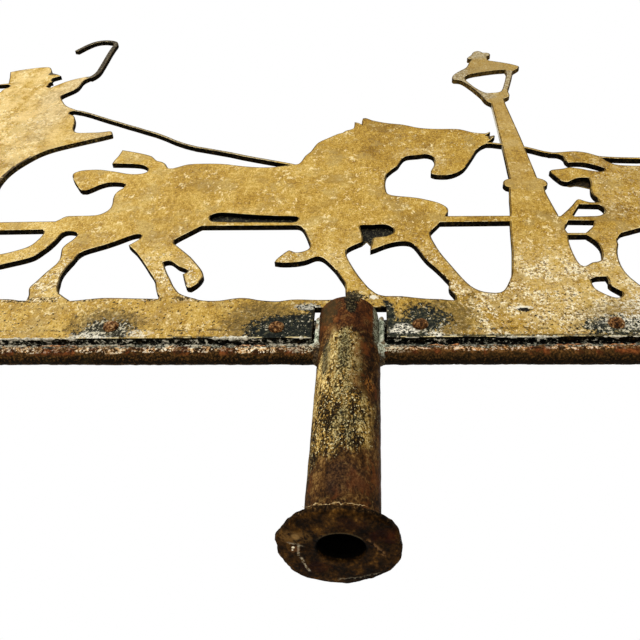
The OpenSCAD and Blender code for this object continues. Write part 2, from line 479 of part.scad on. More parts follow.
// Round rod from the tube's side outward, coped to the tube
module rod(x0, x1) difference() {
    translate([x0, 0, rod_z]) rotate([0, 90, 0]) cylinder(h = x1 - x0, r = rod_r);
    tube_solid(tube_r, 1);
}
module cross_rod_left() color([0.33, 0.24, 0.18]) rod(-left_reach, 0);
module cross_rod_right() color([0.33, 0.24, 0.18]) rod(0, right_reach);

// Flat strip on edge on top of the rod, its foot fitted to the rod's round
module strip(x0, x1, holes) difference() {
    translate([x0, back_y, rod_z + rod_r - 1]) cube([x1 - x0, strip_thickness, strip_top - rod_r + 1]);
    translate([x0 - 1, 0, rod_z]) rotate([0, 90, 0]) cylinder(h = x1 - x0 + 2, r = rod_r);
    tube_solid(tube_r, 1);
    for (p = holes) translate([p[0], 10, rod_z + rivet_height + p[1]]) rotate([90, 0, 0])
        cylinder(h = 20, d = rivet_shank);
}
module backing_strip_left() color([0.20, 0.20, 0.19]) strip(-left_reach, 0, rivets_left);
module backing_strip_right() color([0.20, 0.20, 0.19]) strip(0, right_reach, rivets_right);

module pivot_tube() color([0.45, 0.30, 0.20]) difference() {
    tube_solid();
    tube_solid(bore_r, 1);
}

// Turned plug in the tube's top, with the cup the ball runs in
module tube_plug() color([0.38, 0.33, 0.28]) difference() {
    translate([0, 0, plug_z]) cylinder(h = plug_thickness, r = bore_r);
    translate([0, 0, ball_z]) sphere(r = ball_r + ball_gap, $fn = 96);
}

// Plain bush in the tube's upper end, running on the spindle
module upper_bush() color([0.62, 0.48, 0.24]) translate([0, 0, spindle_top_z - bush_length - 6]) difference() {
    cylinder(h = bush_length, r = bore_r);
    translate([0, 0, -1]) cylinder(h = bush_length + 2, r = spindle_diameter / 2 + run_gap);
}

// Rough forged collar closing the tube's foot down to the spindle
module foot_collar() color([0.24, 0.17, 0.13]) difference() {
    translate([0, 0, collar_z]) linear_extrude(collar_thickness)
        polygon([[-27.5, -6], [-27.5, 5], [-25, 15.5], [-18, 25], [-9, 29], [2, 30], [9, 27],
            [15, 23.5], [21.5, 17.5], [25, 10.5], [25.5, 0], [24.5, -9], [21.5, -16],
            [16.5, -21], [9, -25], [0, -26], [-9, -25.5], [-16.5, -21.5], [-22.5, -15]]);
    translate([0, 0, collar_z - 1]) cylinder(h = collar_thickness + 2, d = collar_hole);
}

// Fixed spindle: cup for the ball on top, threaded socket below
module spindle() color([0.55, 0.56, 0.58]) difference() {
    cylinder(h = spindle_top_z, d = spindle_diameter);
    translate([0, 0, ball_z]) sphere(r = ball_r, $fn = 96);
    translate([0, 0, -1]) cylinder(h = socket_length + 1, r = socket_radius);
}

module thrust_ball() color([0.70, 0.71, 0.73]) translate([0, 0, ball_z]) sphere(r = ball_r, $fn = 96);

// Radius of the sphere that a domed head is cut from
dome_r = (rivet_head * rivet_head / 4 + rivet_head_height * rivet_head_height) / (2 * rivet_head_height);
module dome() intersection() {
    translate([0, 0, rivet_head_height - dome_r]) sphere(r = dome_r);
    cylinder(h = rivet_head_height, d = rivet_head + 1);
}
module rivet(p) translate([p[0], 0, rod_z + rivet_height + p[1]]) {
    translate([0, washer_y, 0]) rotate([90, 0, 0])
        cylinder(h = washer_y - front_y, d = rivet_shank);
    translate([0, front_y, 0]) rotate([90, 0, 0]) dome();
    translate([0, washer_y, 0]) rotate([-90, 0, 0]) dome();
}
module rivets() color([0.50, 0.28, 0.14])
    for (p = concat(rivets_left, rivets_right)) rivet(p);

module rivet_washers() color([0.30, 0.27, 0.24])
    for (p = concat(rivets_left, rivets_right))
        translate([p[0], washer_y, rod_z + rivet_height + p[1]]) rotate([90, 0, 0])
            difference() {
                cylinder(h = washer_thickness, d = washer_diameter);
                translate([0, 0, -1]) cylinder(h = washer_thickness + 2, d = rivet_shank);
            }

// Weld between tube, rod and strip: a bead up the tube's side and a ring round the rod
module rod_weld(s) difference() {
    union() {
        translate([s * (tube_r + 1), back_y - 1.2, rod_z + 2]) cylinder(h = strip_top - 3, r = 1.9);
        translate([s * (tube_r + 1), strip_y + 1.2, rod_z + 2]) cylinder(h = strip_top - 3, r = 1.9);
        translate([s * (tube_r - 1.5), 0, rod_z]) rotate([0, s * 90, 0])
            cylinder(h = 6, r1 = rod_r + 3, r2 = rod_r + 0.4);
    }
    tube_solid(tube_r, 1);
    translate([s > 0 ? 0 : -60, 0, rod_z]) rotate([0, 90, 0]) cylinder(h = 60, r = rod_r);
    translate([s > 0 ? 0 : -60, back_y, rod_z]) cube([60, strip_thickness, strip_top]);
}
module rod_weld_left() color([0.62, 0.64, 0.56]) rod_weld(-1);
module rod_weld_right() color([0.62, 0.64, 0.56]) rod_weld(1);

// Fillet weld round the tube on the collar
module collar_weld() color([0.27, 0.19, 0.14]) difference() {
    translate([0, 0, tube_foot_z]) cylinder(h = 4, r1 = tube_r + 4, r2 = tube_r + 0.4);
    tube_solid(tube_r, 1);
}

silhouette_plate();
cross_rod_left();
cross_rod_right();
backing_strip_left();
backing_strip_right();
pivot_tube();
tube_plug();
upper_bush();
foot_collar();
spindle();
thrust_ball();
rivets();
rivet_washers();
rod_weld_left();
rod_weld_right();
collar_weld();
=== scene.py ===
import bpy
import bmesh
import math
from mathutils import Matrix, Vector, noise


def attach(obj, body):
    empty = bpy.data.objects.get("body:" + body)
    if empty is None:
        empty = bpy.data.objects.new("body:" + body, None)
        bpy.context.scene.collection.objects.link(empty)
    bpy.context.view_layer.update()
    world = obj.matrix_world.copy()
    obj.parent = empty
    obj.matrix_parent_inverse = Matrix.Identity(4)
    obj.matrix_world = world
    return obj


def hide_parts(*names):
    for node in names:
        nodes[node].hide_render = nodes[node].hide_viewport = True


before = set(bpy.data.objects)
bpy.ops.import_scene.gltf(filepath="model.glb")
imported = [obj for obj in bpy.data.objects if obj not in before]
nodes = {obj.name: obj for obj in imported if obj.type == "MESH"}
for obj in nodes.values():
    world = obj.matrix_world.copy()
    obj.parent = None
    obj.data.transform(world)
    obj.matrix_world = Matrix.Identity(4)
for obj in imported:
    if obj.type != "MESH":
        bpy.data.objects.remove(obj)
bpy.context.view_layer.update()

MM = 0.001
ROD_Z = 0.102                 # height of the rods' axis
TUBE_R, BORE_R = 16.85, 13.6  # mm
FRONT, BACK = -5.0, -1.0      # the plate's two faces, mm
RIVETS = {-137: 18.5, -41: 17, -240: 19, -340: 19.5, -440: 18.5, -540: 19, 39: 19, 144: 19, 245: 18.5, 340: 19.5, 425: 19}

# ------------------------------------------------------------------ camera, light, floor

cam_data = bpy.data.cameras.new("camera")
cam_data.sensor_fit = "HORIZONTAL"
cam_data.sensor_width = 36
cam_data.lens = 39.109
cam_data.clip_start = 0.01
cam = bpy.data.objects.new("camera", cam_data)
bpy.context.scene.collection.objects.link(cam)
right, up, ahead = Vector((.99637, .06067, .05966)), Vector((.00663, -.75432, .65647)), Vector((-.08483, .65370, .75199))
place = Vector((.016409, -.261424, -.271660 + ROD_Z))
cam.matrix_world = Matrix(((right.x, up.x, -ahead.x, place.x), (right.y, up.y, -ahead.y, place.y),
                           (right.z, up.z, -ahead.z, place.z), (0, 0, 0, 1)))
bpy.context.scene.camera = cam
bpy.context.scene.view_settings.view_transform = "Standard"


def area(name, where, at, size, power, colour=(1, 1, 1)):
    d = bpy.data.lights.new(name, "AREA")
    d.shape, d.size, d.energy, d.color = "DISK", size, power, colour
    o = bpy.data.objects.new(name, d)
    bpy.context.scene.collection.objects.link(o)
    o.location = where
    o.rotation_euler = (Vector(at) - Vector(where)).to_track_quat("-Z", "Y").to_euler()


area("key", (-.95, -1.35, 1.15), (0, 0, .15), .8, 20.5, (1, .965, .88))
area("fill", (.9, -1.9, .2), (0, 0, .1), .9, 5, (1, .965, .88))
area("low", (-.75, -.75, -.22), (0, 0, 0), .3, 1.1, (1, .94, .80))
area("rim", (.2, 1.8, 1.3), (0, 0, .2), 1.2, 14)

world = bpy.data.worlds.new("studio")
bpy.context.scene.world = world
world.use_nodes = True
wt = world.node_tree
wt.nodes.clear()
w_out = wt.nodes.new("ShaderNodeOutputWorld")
w_mix = wt.nodes.new("ShaderNodeMixShader")
w_soft = wt.nodes.new("ShaderNodeBackground")
w_seen = wt.nodes.new("ShaderNodeBackground")
w_path = wt.nodes.new("ShaderNodeLightPath")
w_soft.inputs["Color"].default_value = (1, .955, .86, 1)
w_way = wt.nodes.new("ShaderNodeTexCoord")
w_sep = wt.nodes.new("ShaderNodeSeparateXYZ")
w_low = wt.nodes.new("ShaderNodeMapRange")
wt.links.new(w_way.outputs["Generated"], w_sep.inputs[0])
wt.links.new(w_sep.outputs[2], w_low.inputs["Value"])
for k, v in (("From Min", -.7), ("From Max", .5), ("To Min", .07), ("To Max", .50)):
    w_low.inputs[k].default_value = v
wt.links.new(w_low.outputs[0], w_soft.inputs["Strength"])
w_seen.inputs["Color"].default_value = (1, 1, 1, 1)
w_seen.inputs["Strength"].default_value = 1.0
wt.links.new(w_path.outputs["Is Camera Ray"], w_mix.inputs[0])
wt.links.new(w_soft.outputs[0], w_mix.inputs[1])
wt.links.new(w_seen.outputs[0], w_mix.inputs[2])
wt.links.new(w_mix.outputs[0], w_out.inputs["Surface"])

# ------------------------------------------------------------------ material nodes


def s8(r, g, b):
    f = lambda v: v / 12.92 if v <= .04045 else ((v + .055) / 1.055) ** 2.4
    return (f(r / 255), f(g / 255), f(b / 255), 1)


class Paint:
    """One procedural material. x, y, z are millimetres in the part's frame, z from the rods' axis."""

    def __init__(self, name, rough=.6, metal=0.0, spec=.35):
        self.m = bpy.data.materials.new(name)
        self.m.use_nodes = True
        self.t = self.m.node_tree
        self.t.nodes.clear()
        self.out = self.t.nodes.new("ShaderNodeOutputMaterial")
        self.b = self.t.nodes.new("ShaderNodeBsdfPrincipled")
        self.t.links.new(self.b.outputs[0], self.out.inputs["Surface"])
        self.b.inputs["Metallic"].default_value = metal
        self.b.inputs["Roughness"].default_value = rough
        self.b.inputs["Specular IOR Level"].default_value = spec
        tc = self.t.nodes.new("ShaderNodeTexCoord")
        self.P = tc.outputs["Object"]
        mm = self.t.nodes.new("ShaderNodeVectorMath")
        mm.operation = "MULTIPLY_ADD"
        self.t.links.new(self.P, mm.inputs[0])
        mm.inputs[1].default_value = (1000, 1000, 1000)
        mm.inputs[2].default_value = (0, 0, -1000 * ROD_Z)
        self.P = mm.outputs[0]
        self.x, self.y, self.z = self.split(self.P)
        self.nx, self.ny, self.nz = self.split(tc.outputs["Normal"])

    def put(self, sock, v):
        if isinstance(v, bpy.types.NodeSocket):
            self.t.links.new(v, sock)
        else:
            sock.default_value = v

    def split(self, v):
        n = self.t.nodes.new("ShaderNodeSeparateXYZ")
        self.put(n.inputs[0], v)
        return n.outputs[0], n.outputs[1], n.outputs[2]

    def op(self, kind, a, b=0.0, c=0.0, clamp=False):
        n = self.t.nodes.new("ShaderNodeMath")
        n.operation, n.use_clamp = kind, clamp
        for i, v in enumerate((a, b, c)):
            self.put(n.inputs[i], v)
        return n.outputs[0]

    def add(self, *v):
        r = v[0]
        for q in v[1:]:
            r = self.op("ADD", r, q)
        return r

    def mul(self, *v):
        r = v[0]
        for q in v[1:]:
            r = self.op("MULTIPLY", r, q)
        return r

    def neg(self, v):
        return self.op("SUBTRACT", 1.0, v)

    def most(self, *v):
        r = v[0]
        for q in v[1:]:
            r = self.op("MAXIMUM", r, q)
        return r

    def step(self, v, a, b, c=0.0, d=1.0):
        n = self.t.nodes.new("ShaderNodeMapRange")
        n.interpolation_type, n.clamp = "SMOOTHSTEP", False      # a smooth step stays in its range by itself
        self.put(n.inputs["Value"], v)
        for k, q in (("From Min", a), ("From Max", b), ("To Min", c), ("To Max", d)):
            self.put(n.inputs[k], q)
        return n.outputs[0]

    def fbm(self, scale, detail=3.0, rough=.55, stretch=(1, 1, 1), seed=0.0, twist=0.0):
        v = self.t.nodes.new("ShaderNodeMapping")
        v.vector_type = "POINT"
        self.put(v.inputs["Vector"], self.P)
        v.inputs["Scale"].default_value = tuple(k / 1000 for k in stretch)
        v.inputs["Location"].default_value = (seed, seed * .37, -seed * .61 + ROD_Z * stretch[2])
        n = self.t.nodes.new("ShaderNodeTexNoise")
        self.put(n.inputs["Vector"], v.outputs[0])
        n.inputs["Scale"].default_value = scale
        n.inputs["Detail"].default_value = detail
        n.inputs["Roughness"].default_value = rough
        n.inputs["Distortion"].default_value = twist
        return n.outputs["Fac"]

    def ramp(self, v, stops):
        n = self.t.nodes.new("ShaderNodeValToRGB")
        e = n.color_ramp.elements
        while len(e) < len(stops):
            e.new(.5)
        for i, (p, c) in enumerate(stops):
            e[i].position, e[i].color = p, c
        self.put(n.inputs[0], v)
        return n.outputs[0]

    def mix(self, fac, a, b):
        n = self.t.nodes.new("ShaderNodeMix")
        n.data_type = "RGBA"
        self.put(n.inputs[0], fac)
        self.put(n.inputs[6], a)
        self.put(n.inputs[7], b)
        return n.outputs[2]

    def spot(self, a, b, ca, cb, ra, rb, edge, ragged=1.1, soft=.3):
        """1 inside an ellipse round (ca, cb) in the plane of coordinates a and b, with a ragged border."""
        u = self.op("MULTIPLY_ADD", a, 1 / ra, -ca / ra)
        v = self.op("MULTIPLY_ADD", b, 1 / rb, -cb / rb)
        d = self.op("SQRT", self.add(self.mul(u, u), self.mul(v, v)))
        d = self.op("MULTIPLY_ADD", edge, ragged, self.op("SUBTRACT", d, ragged / 2))
        return self.step(d, 1 + soft, 1 - soft)

    def sharp(self, v, k):
        """v with its contrast about one half multiplied by k."""
        return self.op("MULTIPLY_ADD", v, k, .5 - .5 * k)

    def window(self, v, a, b, soft):
        """1 where v lies between a and b."""
        return self.mul(self.step(v, a - soft, a + soft), self.step(v, b + soft, b - soft))

    def stroke(self, a, b, p, q, half, soft=.4):
        """1 along the straight line from p to q in the plane of coordinates a and b."""
        dx, dy = q[0] - p[0], q[1] - p[1]
        n = math.hypot(dx, dy)
        dx, dy = dx / n, dy / n
        along = self.add(self.mul(a, dx), self.mul(b, dy), -(p[0] * dx + p[1] * dy))
        off = self.op("ABSOLUTE", self.add(self.mul(a, -dy), self.mul(b, dx), p[0] * dy - p[1] * dx))
        return self.mul(self.step(off, half + soft, half - soft), self.window(along, 0, n, 1.0))

    def finish(self, colour, height=None, rough=None, strength=.5, depth=.0004):
        self.put(self.b.inputs["Base Color"], colour)
        if rough is not None:
            self.put(self.b.inputs["Roughness"], rough)
        if height is not None:
            n = self.t.nodes.new("ShaderNodeBump")
            n.inputs["Strength"].default_value = strength
            n.inputs["Distance"].default_value = depth
            self.put(n.inputs["Height"], height)
            self.t.links.new(n.outputs[0], self.b.inputs["Normal"])
        return self.m


# ------------------------------------------------------------------ materials


def gold_plate():
    s = Paint("gold_plate", .62, 0, .14)
    x, y, z = s.x, s.y, s.z
    big = s.fbm(20, 3, .6, (1, 1, 1.0))
    mid = s.fbm(100, 4, .6, (1.1, 1, .75), 3)
    small = s.fbm(400, 3, .6, (1.05, 1, .75), 7)
    fine = s.fbm(1000, 2, .6, (1, 1, .75), 11)
    grain = s.fbm(760, 3, .7, (1, 1, .9), 17)
    tone = s.sharp(s.add(s.mul(big, .20), s.mul(mid, .20), s.mul(small, .26), s.mul(fine, .34)), 1.25)
    # painted falloff of light from the left: darker on the neck and towards the leading horses, paler on the driver;
    # also darker along the low ground strip
    tone = s.add(tone, s.step(x, -60, 60, .013, -.014), s.step(x, -225, -275, 0, .012), s.step(z, 60, 0, 0, -.032))
    col = s.ramp(tone, [(.39, s8(128, 95, 31)), (.45, s8(164, 127, 45)), (.505, s8(189, 152, 61)),
                        (.555, s8(205, 172, 87)), (.62, s8(230, 204, 134))])
    # painted light: the driver's coat is painted paler in patches, as the light falls from the left
    coat = s.mul(s.step(x, -235, -275), s.step(z, 150, 200))
    col = s.mix(s.mul(coat, s.step(mid, .38, .60), .6), col, s8(234, 207, 148))
    # olive and brown stains
    stain = s.mul(s.step(s.fbm(34, 4, .65, (1, 1, 1.3), 23), .54, .66), .5)
    col = s.mix(stain, col, s8(146, 116, 54))
    cool = s.mul(s.step(s.fbm(55, 3, .6, seed=25), .53, .64), .35)
    col = s.mix(cool, col, s8(178, 158, 104))
    # pale scuffs in clusters on the bodies
    scuff = s.mul(s.step(s.add(s.fbm(300, 4, .75, (1, 1, .8), 27, .6), s.mul(coat, .03)), .575, .61), s.step(s.fbm(45, 2, .5, seed=28), .44, .56))
    col = s.mix(s.mul(scuff, .9), col, s8(244, 226, 174))
    rub = s.most(s.spot(x, z, 36, 214, 9, 7, small, 2.4, .4), s.spot(x, z, 60, 202, 6, 12, small, 2.4, .4), s.spot(x, z, 50, 222, 16, 5, small, 2.4, .4),
                 s.spot(x, z, -86, 113, 13, 5, small, 2.4, .4))
    col = s.mix(s.mul(rub, s.step(s.fbm(420, 4, .7, (1, 1, 1.4), 97), .48, .58), .55), col, s8(236, 216, 164))
    # cream flecks: few on the bodies, many on the legs and on the lamp's foot
    low = s.step(z, 132, 52, .05, 1)
    strip = s.mul(s.step(z, 47, 42), s.step(x, 80, 50))
    low = s.mul(low, s.op("SUBTRACT", 1.0, s.mul(strip, .72)))
    foot = s.mul(s.step(x, 82, 104), s.step(z, 118, 70), s.step(z, 14, 26, .75, 1))
    coat = s.mul(s.step(x, -245, -275), s.step(z, 360, 300), s.step(z, 150, 200), .55)
    rump = s.mul(s.step(x, 158, 172), s.step(z, 110, 130), .55)
    low = s.most(low, foot, coat, rump)
    patch = s.step(s.fbm(75, 3, .6, (1, 1, 1), 71), .42, .58)
    low = s.mul(low, s.add(.45, s.mul(patch, .65)), s.neg(s.mul(s.window(x, -8, 24, 4), s.window(z, 38, 95, 6), .6)))
    pale = s.add(s.mul(s.fbm(230, 4, .7, (1, 1, 1.1), 29), s.add(.75, s.mul(foot, -.45))), s.mul(s.fbm(520, 3, .7, (1, 1, 1.2), 30), s.add(.25, s.mul(foot, .45))))
    pale = s.mul(s.step(s.add(pale, s.mul(foot, .05)), .47, .57), low, s.add(.65, s.mul(foot, .1)))
    col = s.mix(pale, col, s8(234, 212, 156))
    col = s.mix(s.mul(s.step(z, 50, 44), .10), col, s8(166, 124, 16))
    cut = s.op("MULTIPLY_ADD", low, -.170, .695)
    fleck = s.step(grain, cut, s.op("ADD", cut, .035))
    col = s.mix(s.mul(fleck, .95), col, s8(252, 243, 214))
    brown = s.mul(s.step(s.fbm(700, 3, .7, seed=19), s.op("MULTIPLY_ADD", low, .095, .355), s.op("MULTIPLY_ADD", low, .095, .310)), .9)
    col = s.mix(brown, col, s8(104, 74, 28))
    # pits, more of them in the ground strip, and one broken row above its lower edge
    pit = s.step(s.fbm(470, 2, .55, (1, 1, 1.15), 5), s.step(z, 52, 42, .71, .632), s.step(z, 52, 42, .74, .650))
    col = s.mix(s.mul(pit, .95), col, s8(40, 27, 11))
    wave = s.add(z, s.mul(s.fbm(60, 2, .5, (1, 0, 0), 30), 3.2), -1.6)
    row = s.mul(s.window(wave, 14.7, 16.3, .6), s.step(s.fbm(170, 3, .6, (1, 0, 0), 31), .46, .52), s.step(grain, .43, .53), s.step(x, 200, 170))
    col = s.mix(s.mul(row, .85), col, s8(44, 36, 22))
    # crumbs of black and white along the top of the ground strip
    brow = s.mul(s.window(s.add(z, s.mul(small, 3), -1.5), 41.4, 46, .7), s.step(x, 90, 60),
                 s.most(s.window(x, -213, -203, 1), s.window(x, -187, -177, 1), s.window(x, -168, -159, 1), s.window(x, -126, -116, 1), s.step(s.fbm(38, 3, .6, (1, 0, 0), 67), .46, .56)))
    col = s.mix(s.mul(brow, s.step(grain, .50, .45)), col, s8(34, 26, 14))
    col = s.mix(s.mul(brow, s.step(grain, .56, .61)), col, s8(246, 240, 218))
    # corrosion round the rivets and beside the tube
    edge = s.add(s.mul(mid, .30), s.mul(small, .40), s.mul(grain, .45), -.07)
    dark = s.spot(x, z, -36, 14, 21, 15, edge, 2.4, .16)
    dark = s.most(dark, s.spot(x, z, -22, 17, 14, 16, edge, 2.4, .2), s.spot(x, z, -24, 34, 8, 4, edge, 3.6, .2))
    dark = s.most(dark, s.spot(x, z, 28, 13, 18, 12, edge, 3.2, .16), s.spot(x, z, 43, 22, 12, 13, edge, 4.4, .16),
                  s.spot(x, z, 21, 24, 5, 15, edge, 2.0, .16))
    dark = s.most(dark, s.mul(s.spot(x, z, -139, 15, 17, 10, edge, 3.6, .16), .95), s.spot(x, z, 144, 17, 17, 9, edge, 3.4, .16))
    for c in RIVETS:
        if c not in (-137, -41, 39, 144):
            dark = s.most(dark, s.spot(x, z, c + 2, 17, 13, 9, edge, 3.2, .16))
    runs = s.step(s.fbm(26, 3, .6, (1, 0, 0), 43), .47, .56)
    foot_line = s.most(s.mul(s.window(z, 7, 10.2, .8), runs), s.mul(s.window(z, 7, 10.8, .9), s.step(x, 48, 54), s.step(x, 186, 170), .9))
    dark = s.most(dark, s.mul(foot_line, s.step(edge, .38, .50)))
    olive = s.most(s.spot(x, z, -46, 22, 26, 19, edge, 2.2, .4), s.spot(x, z, 50, 25, 22, 18, edge, 2.6, .35),
                   s.spot(x, z, -140, 21, 21, 13, edge, 2.6, .35), s.mul(s.spot(x, z, 150, 24, 24, 14, edge, 3.0, .35), .6))
    col = s.mix(s.mul(olive, .75), col, s.ramp(grain, [(.40, s8(58, 48, 22)), (.52, s8(108, 88, 42)), (.64, s8(150, 124, 66))]))
    rot = s.ramp(s.add(s.mul(small, .4), s.mul(grain, .6), s.step(x, 10, 24, 0, .035)),
                 [(.38, s8(6, 10, 11)), (.50, s8(28, 33, 31)), (.58, s8(58, 60, 49)), (.68, s8(126, 116, 84))])
    col = s.mix(dark, col, rot)
    more = s.most(s.spot(x, z, -138, 15, 17, 12, edge, 2.4), s.spot(x, z, 150, 18, 22, 9, edge, 1.5), s.spot(x, z, 52, 14, 12, 7, edge, 2.0))
    cut = s.op("MULTIPLY_ADD", more, -.09, .625)
    bloom = s.mul(dark, s.step(s.fbm(560, 3, .7, seed=47), cut, s.op("ADD", cut, .04)))
    col = s.mix(bloom, col, s8(206, 200, 178))
    # white crust: beside the notch, round the right-hand rivet, a little round the left-hand one
    crust = s.most(s.mul(s.spot(x, z, 152, 22, 18, 7, edge, 3.0), .95), s.spot(x, z, 30, 14.2, 9, 2.6, edge, 2.2),
                   s.spot(x, z, 29, 17.5, 5, 2.6, edge, 1.8), s.spot(x, z, 47, 11, 5, 2.2, edge, 1.6), s.mul(s.spot(x, z, -25, 35, 8, 3, edge, 3.6), .6),
                   s.mul(s.spot(x, z, -146, 10.5, 12, 3.4, edge, 4.0), .8), s.mul(s.spot(x, z, -119, 12.5, 8, 3.6, edge, 3.0), .7), s.mul(s.spot(x, z, 170, 34, 26, 12, edge, 3.4), .7))
    crust = s.mul(crust, s.step(s.add(s.mul(s.fbm(420, 4, .75, (1, 1, 1.4), 53), .5), s.mul(grain, .5), s.step(x, 60, 120, .012, -.010)), .49, .53))
    col = s.mix(crust, col, s8(240, 236, 222))
    dot = s.most(s.spot(x, z, 13.0, 43.4, 2.0, 1.9, edge, 4.0, .15), s.mul(s.spot(x, z, 96.5, 32.6, 4.6, 1.6, edge, 6.0, .15), .8))
    col = s.mix(dot, col, s8(240, 236, 222))
    col = s.mix(s.spot(x, z, 97.2, 30.9, 3.6, 1.5, edge, 4.0, .15), col, s.ramp(grain, [(.46, s8(14, 12, 8)), (.60, s8(70, 58, 34))]))
    base = s.mul(s.spot(x, z, 1.5, 44.5, 6.5, 4.2, edge, 4.0, .15), s.step(z, 41, 43))
    col = s.mix(s.mul(base, .95), col, s.ramp(grain, [(.44, s8(12, 12, 8)), (.53, s8(40, 36, 22)), (.62, s8(126, 112, 74))]))
    # the lips are nearly black
    col = s.mix(s.mul(s.step(x, 101.5, 103.5), s.step(x, 112, 109), s.window(z, 237, 251, 1)), col, s8(26, 22, 16))
    # greyish high parts: lantern, whip, reins and the driver's hand
    stem = s.mul(s.window(x, 104, 137, 1), s.step(z, 120, 215), s.step(mid, .40, .60, .10, .50))
    col = s.mix(stem, col, s8(182, 156, 104))
    high = s.mul(s.step(z, 292, 318), s.step(x, 60, 80))
    bars = s.most(s.step(x, 104, 96), s.stroke(x, z, (90, 356), (113, 312), 6.5, 2.5), s.stroke(x, z, (131, 330), (140, 372), 6, 2.5), s.step(z, 400, 408))
    col = s.mix(s.mul(high, s.step(small, .36, .60, .15, .55)), col, s8(158, 140, 98))
    col = s.mix(s.mul(high, bars, s.step(grain, .36, .56, .35, .85)), col, s.ramp(small, [(.42, s8(140, 126, 96)), (.54, s8(182, 172, 146)), (.64, s8(216, 210, 190))]))
    whip = s.most(s.mul(s.window(x, -316, -261.5, 1), s.step(z, 402, 406)), s.mul(s.window(x, -272.6, -259, .8), s.step(z, 391, 393)))
    col = s.mix(whip, col, s.ramp(small, [(.42, s8(38, 32, 22)), (.52, s8(62, 54, 40)), (.62, s8(120, 112, 92))]))
    rein = s.most(s.op("MULTIPLY_ADD", x, -.6017, 319 - .6017 * 265), s.op("MULTIPLY_ADD", x, -.451, 249.8 - .451 * 150))
    rein = s.mul(s.step(s.op("ABSOLUTE", s.op("SUBTRACT", z, rein)), 6, 4), s.window(x, -259, -62, 3))
    col = s.mix(s.mul(rein, .75), col, s.ramp(grain, [(.42, s8(84, 74, 52)), (.52, s8(138, 128, 100)), (.62, s8(190, 184, 164))]))
    hand = s.most(s.spot(x, z, -274, 372, 16, 24, edge, 1.0), s.spot(x, z, -291, 347, 11, 20, edge, 1.6, .5), s.mul(s.spot(x, z, -226, 264, 22, 8, edge, 1.4, .5), .8),
                  s.mul(s.spot(x, z, -276, 306, 14, 44, edge, 1.6, .6), .7))
    col = s.mix(s.mul(hand, .45), col, s.ramp(small, [(.42, s8(176, 158, 122)), (.58, s8(224, 208, 172))]))
    # painted shadow: a dark brown band painted along the apron's lower edge
    hem_shadow = 0.0
    hem_shadow_points = [(-208, 264), (-230, 253), (-254, 240), (-264, 229), (-271.5, 213.5), (-275, 196), (-273, 176), (-272, 164)]
    for a, b, w in zip(hem_shadow_points, hem_shadow_points[1:], (.8, 1.2, 2.0, 3.2, 3.6, 3.4, 2.6)):
        hem_shadow = s.most(hem_shadow, s.stroke(x, z, a, b, w, .35))
    col = s.mix(hem_shadow, col, s.ramp(small, [(.40, s8(34, 25, 12)), (.52, s8(64, 48, 24)), (.64, s8(104, 82, 42))]))
    # painted shadow: the floors of the blind slots are painted near black
    blind = s.mul(s.step(s.ny, -.6, -.8), s.step(y, -4.3, -3.8))
    slot_shadow = s.ramp(s.sharp(s.fbm(900, 3, .75, seed=83), 1.2), [(.42, s8(4, 4, 3)), (.53, s8(13, 12, 9)), (.60, s8(46, 44, 32)), (.68, s8(120, 116, 92))])
    slot_shadow = s.mix(s.mul(s.step(x, 140, 144), .6), slot_shadow, s.ramp(small, [(.42, s8(10, 8, 4)), (.58, s8(58, 42, 18))]))
    col = s.mix(blind, col, slot_shadow)
    # a thin brown line inside the upper and side rims: worn paint, and painted shade of the edge
    att = s.t.nodes.new("ShaderNodeAttribute")
    att.attribute_name = "rim"
    worn = s.fbm(150, 4, .7, (1, 1, 1), 89)
    bare_and_shade = s.mul(s.step(att.outputs["Fac"], .6, .8), s.step(worn, .32, .50, .35, .95), s.neg(s.mul(dark, .9)))
    col = s.mix(bare_and_shade, col, s.ramp(grain, [(.40, s8(36, 26, 9)), (.52, s8(70, 52, 21)), (.62, s8(122, 96, 50))]))
    # painted highlight: cream along the lower rims, with scuffs
    scuff_and_highlight = s.mul(s.window(att.outputs["Fac"], .3, .5, .05), s.step(worn, .50, .56))
    col = s.mix(s.mul(scuff_and_highlight, .8), col, s8(240, 220, 164))
    # painted light on the cut edge and its broken rims: painted shade, nearly black, where they look down and darker
    # where they look right; brown where they look up, painted light
    side = s.op("ABSOLUTE", s.ny)
    rim = s.mul(s.step(side, .995, .93), s.step(side, .35, .6), s.step(y, -2.5, -3.5))
    lit = s.mul(rim, s.step(s.nz, -.15, .25))
    col = s.mix(s.mul(lit, s.step(small, .36, .50), .85), col, s8(92, 68, 28))
    col = s.mix(s.mul(lit, s.step(s.nx, .2, .5), .8), col, s8(38, 28, 12))
    col = s.mix(s.mul(rim, s.step(s.nz, .15, -.25)), col, s8(8, 6, 3))
    where = s.most(s.step(x, -205, -215), s.window(x, -77, -49, 2), s.window(x, -31, -21, 1), s.window(x, 23, 38, 1), s.window(x, 80, 113, 2))
    primer = s.mul(rim, s.step(z, 9.6, 9.2), s.step(s.fbm(110, 4, .7, (1, 0, 0), 61), .42, .50), where)
    col = s.mix(primer, col, s8(228, 222, 204))
    # painted shade: the cut walls are nearly black, a dark cut edge with painted shade on it
    wall = s.step(side, .55, .40)
    soot_and_shade = s.ramp(s.add(s.mul(small, .5), s.mul(grain, .5)), [(.42, s8(5, 4, 3)), (.52, s8(17, 14, 9)),
                                                           (.60, s8(44, 35, 19)), (.68, s8(96, 76, 42))])
    tan = s.ramp(small, [(.42, s8(66, 50, 22)), (.56, s8(98, 76, 36)), (.66, s8(138, 116, 68))])
    painted_lit_grey = s.ramp(small, [(.42, s8(196, 192, 180)), (.6, s8(238, 236, 228))])
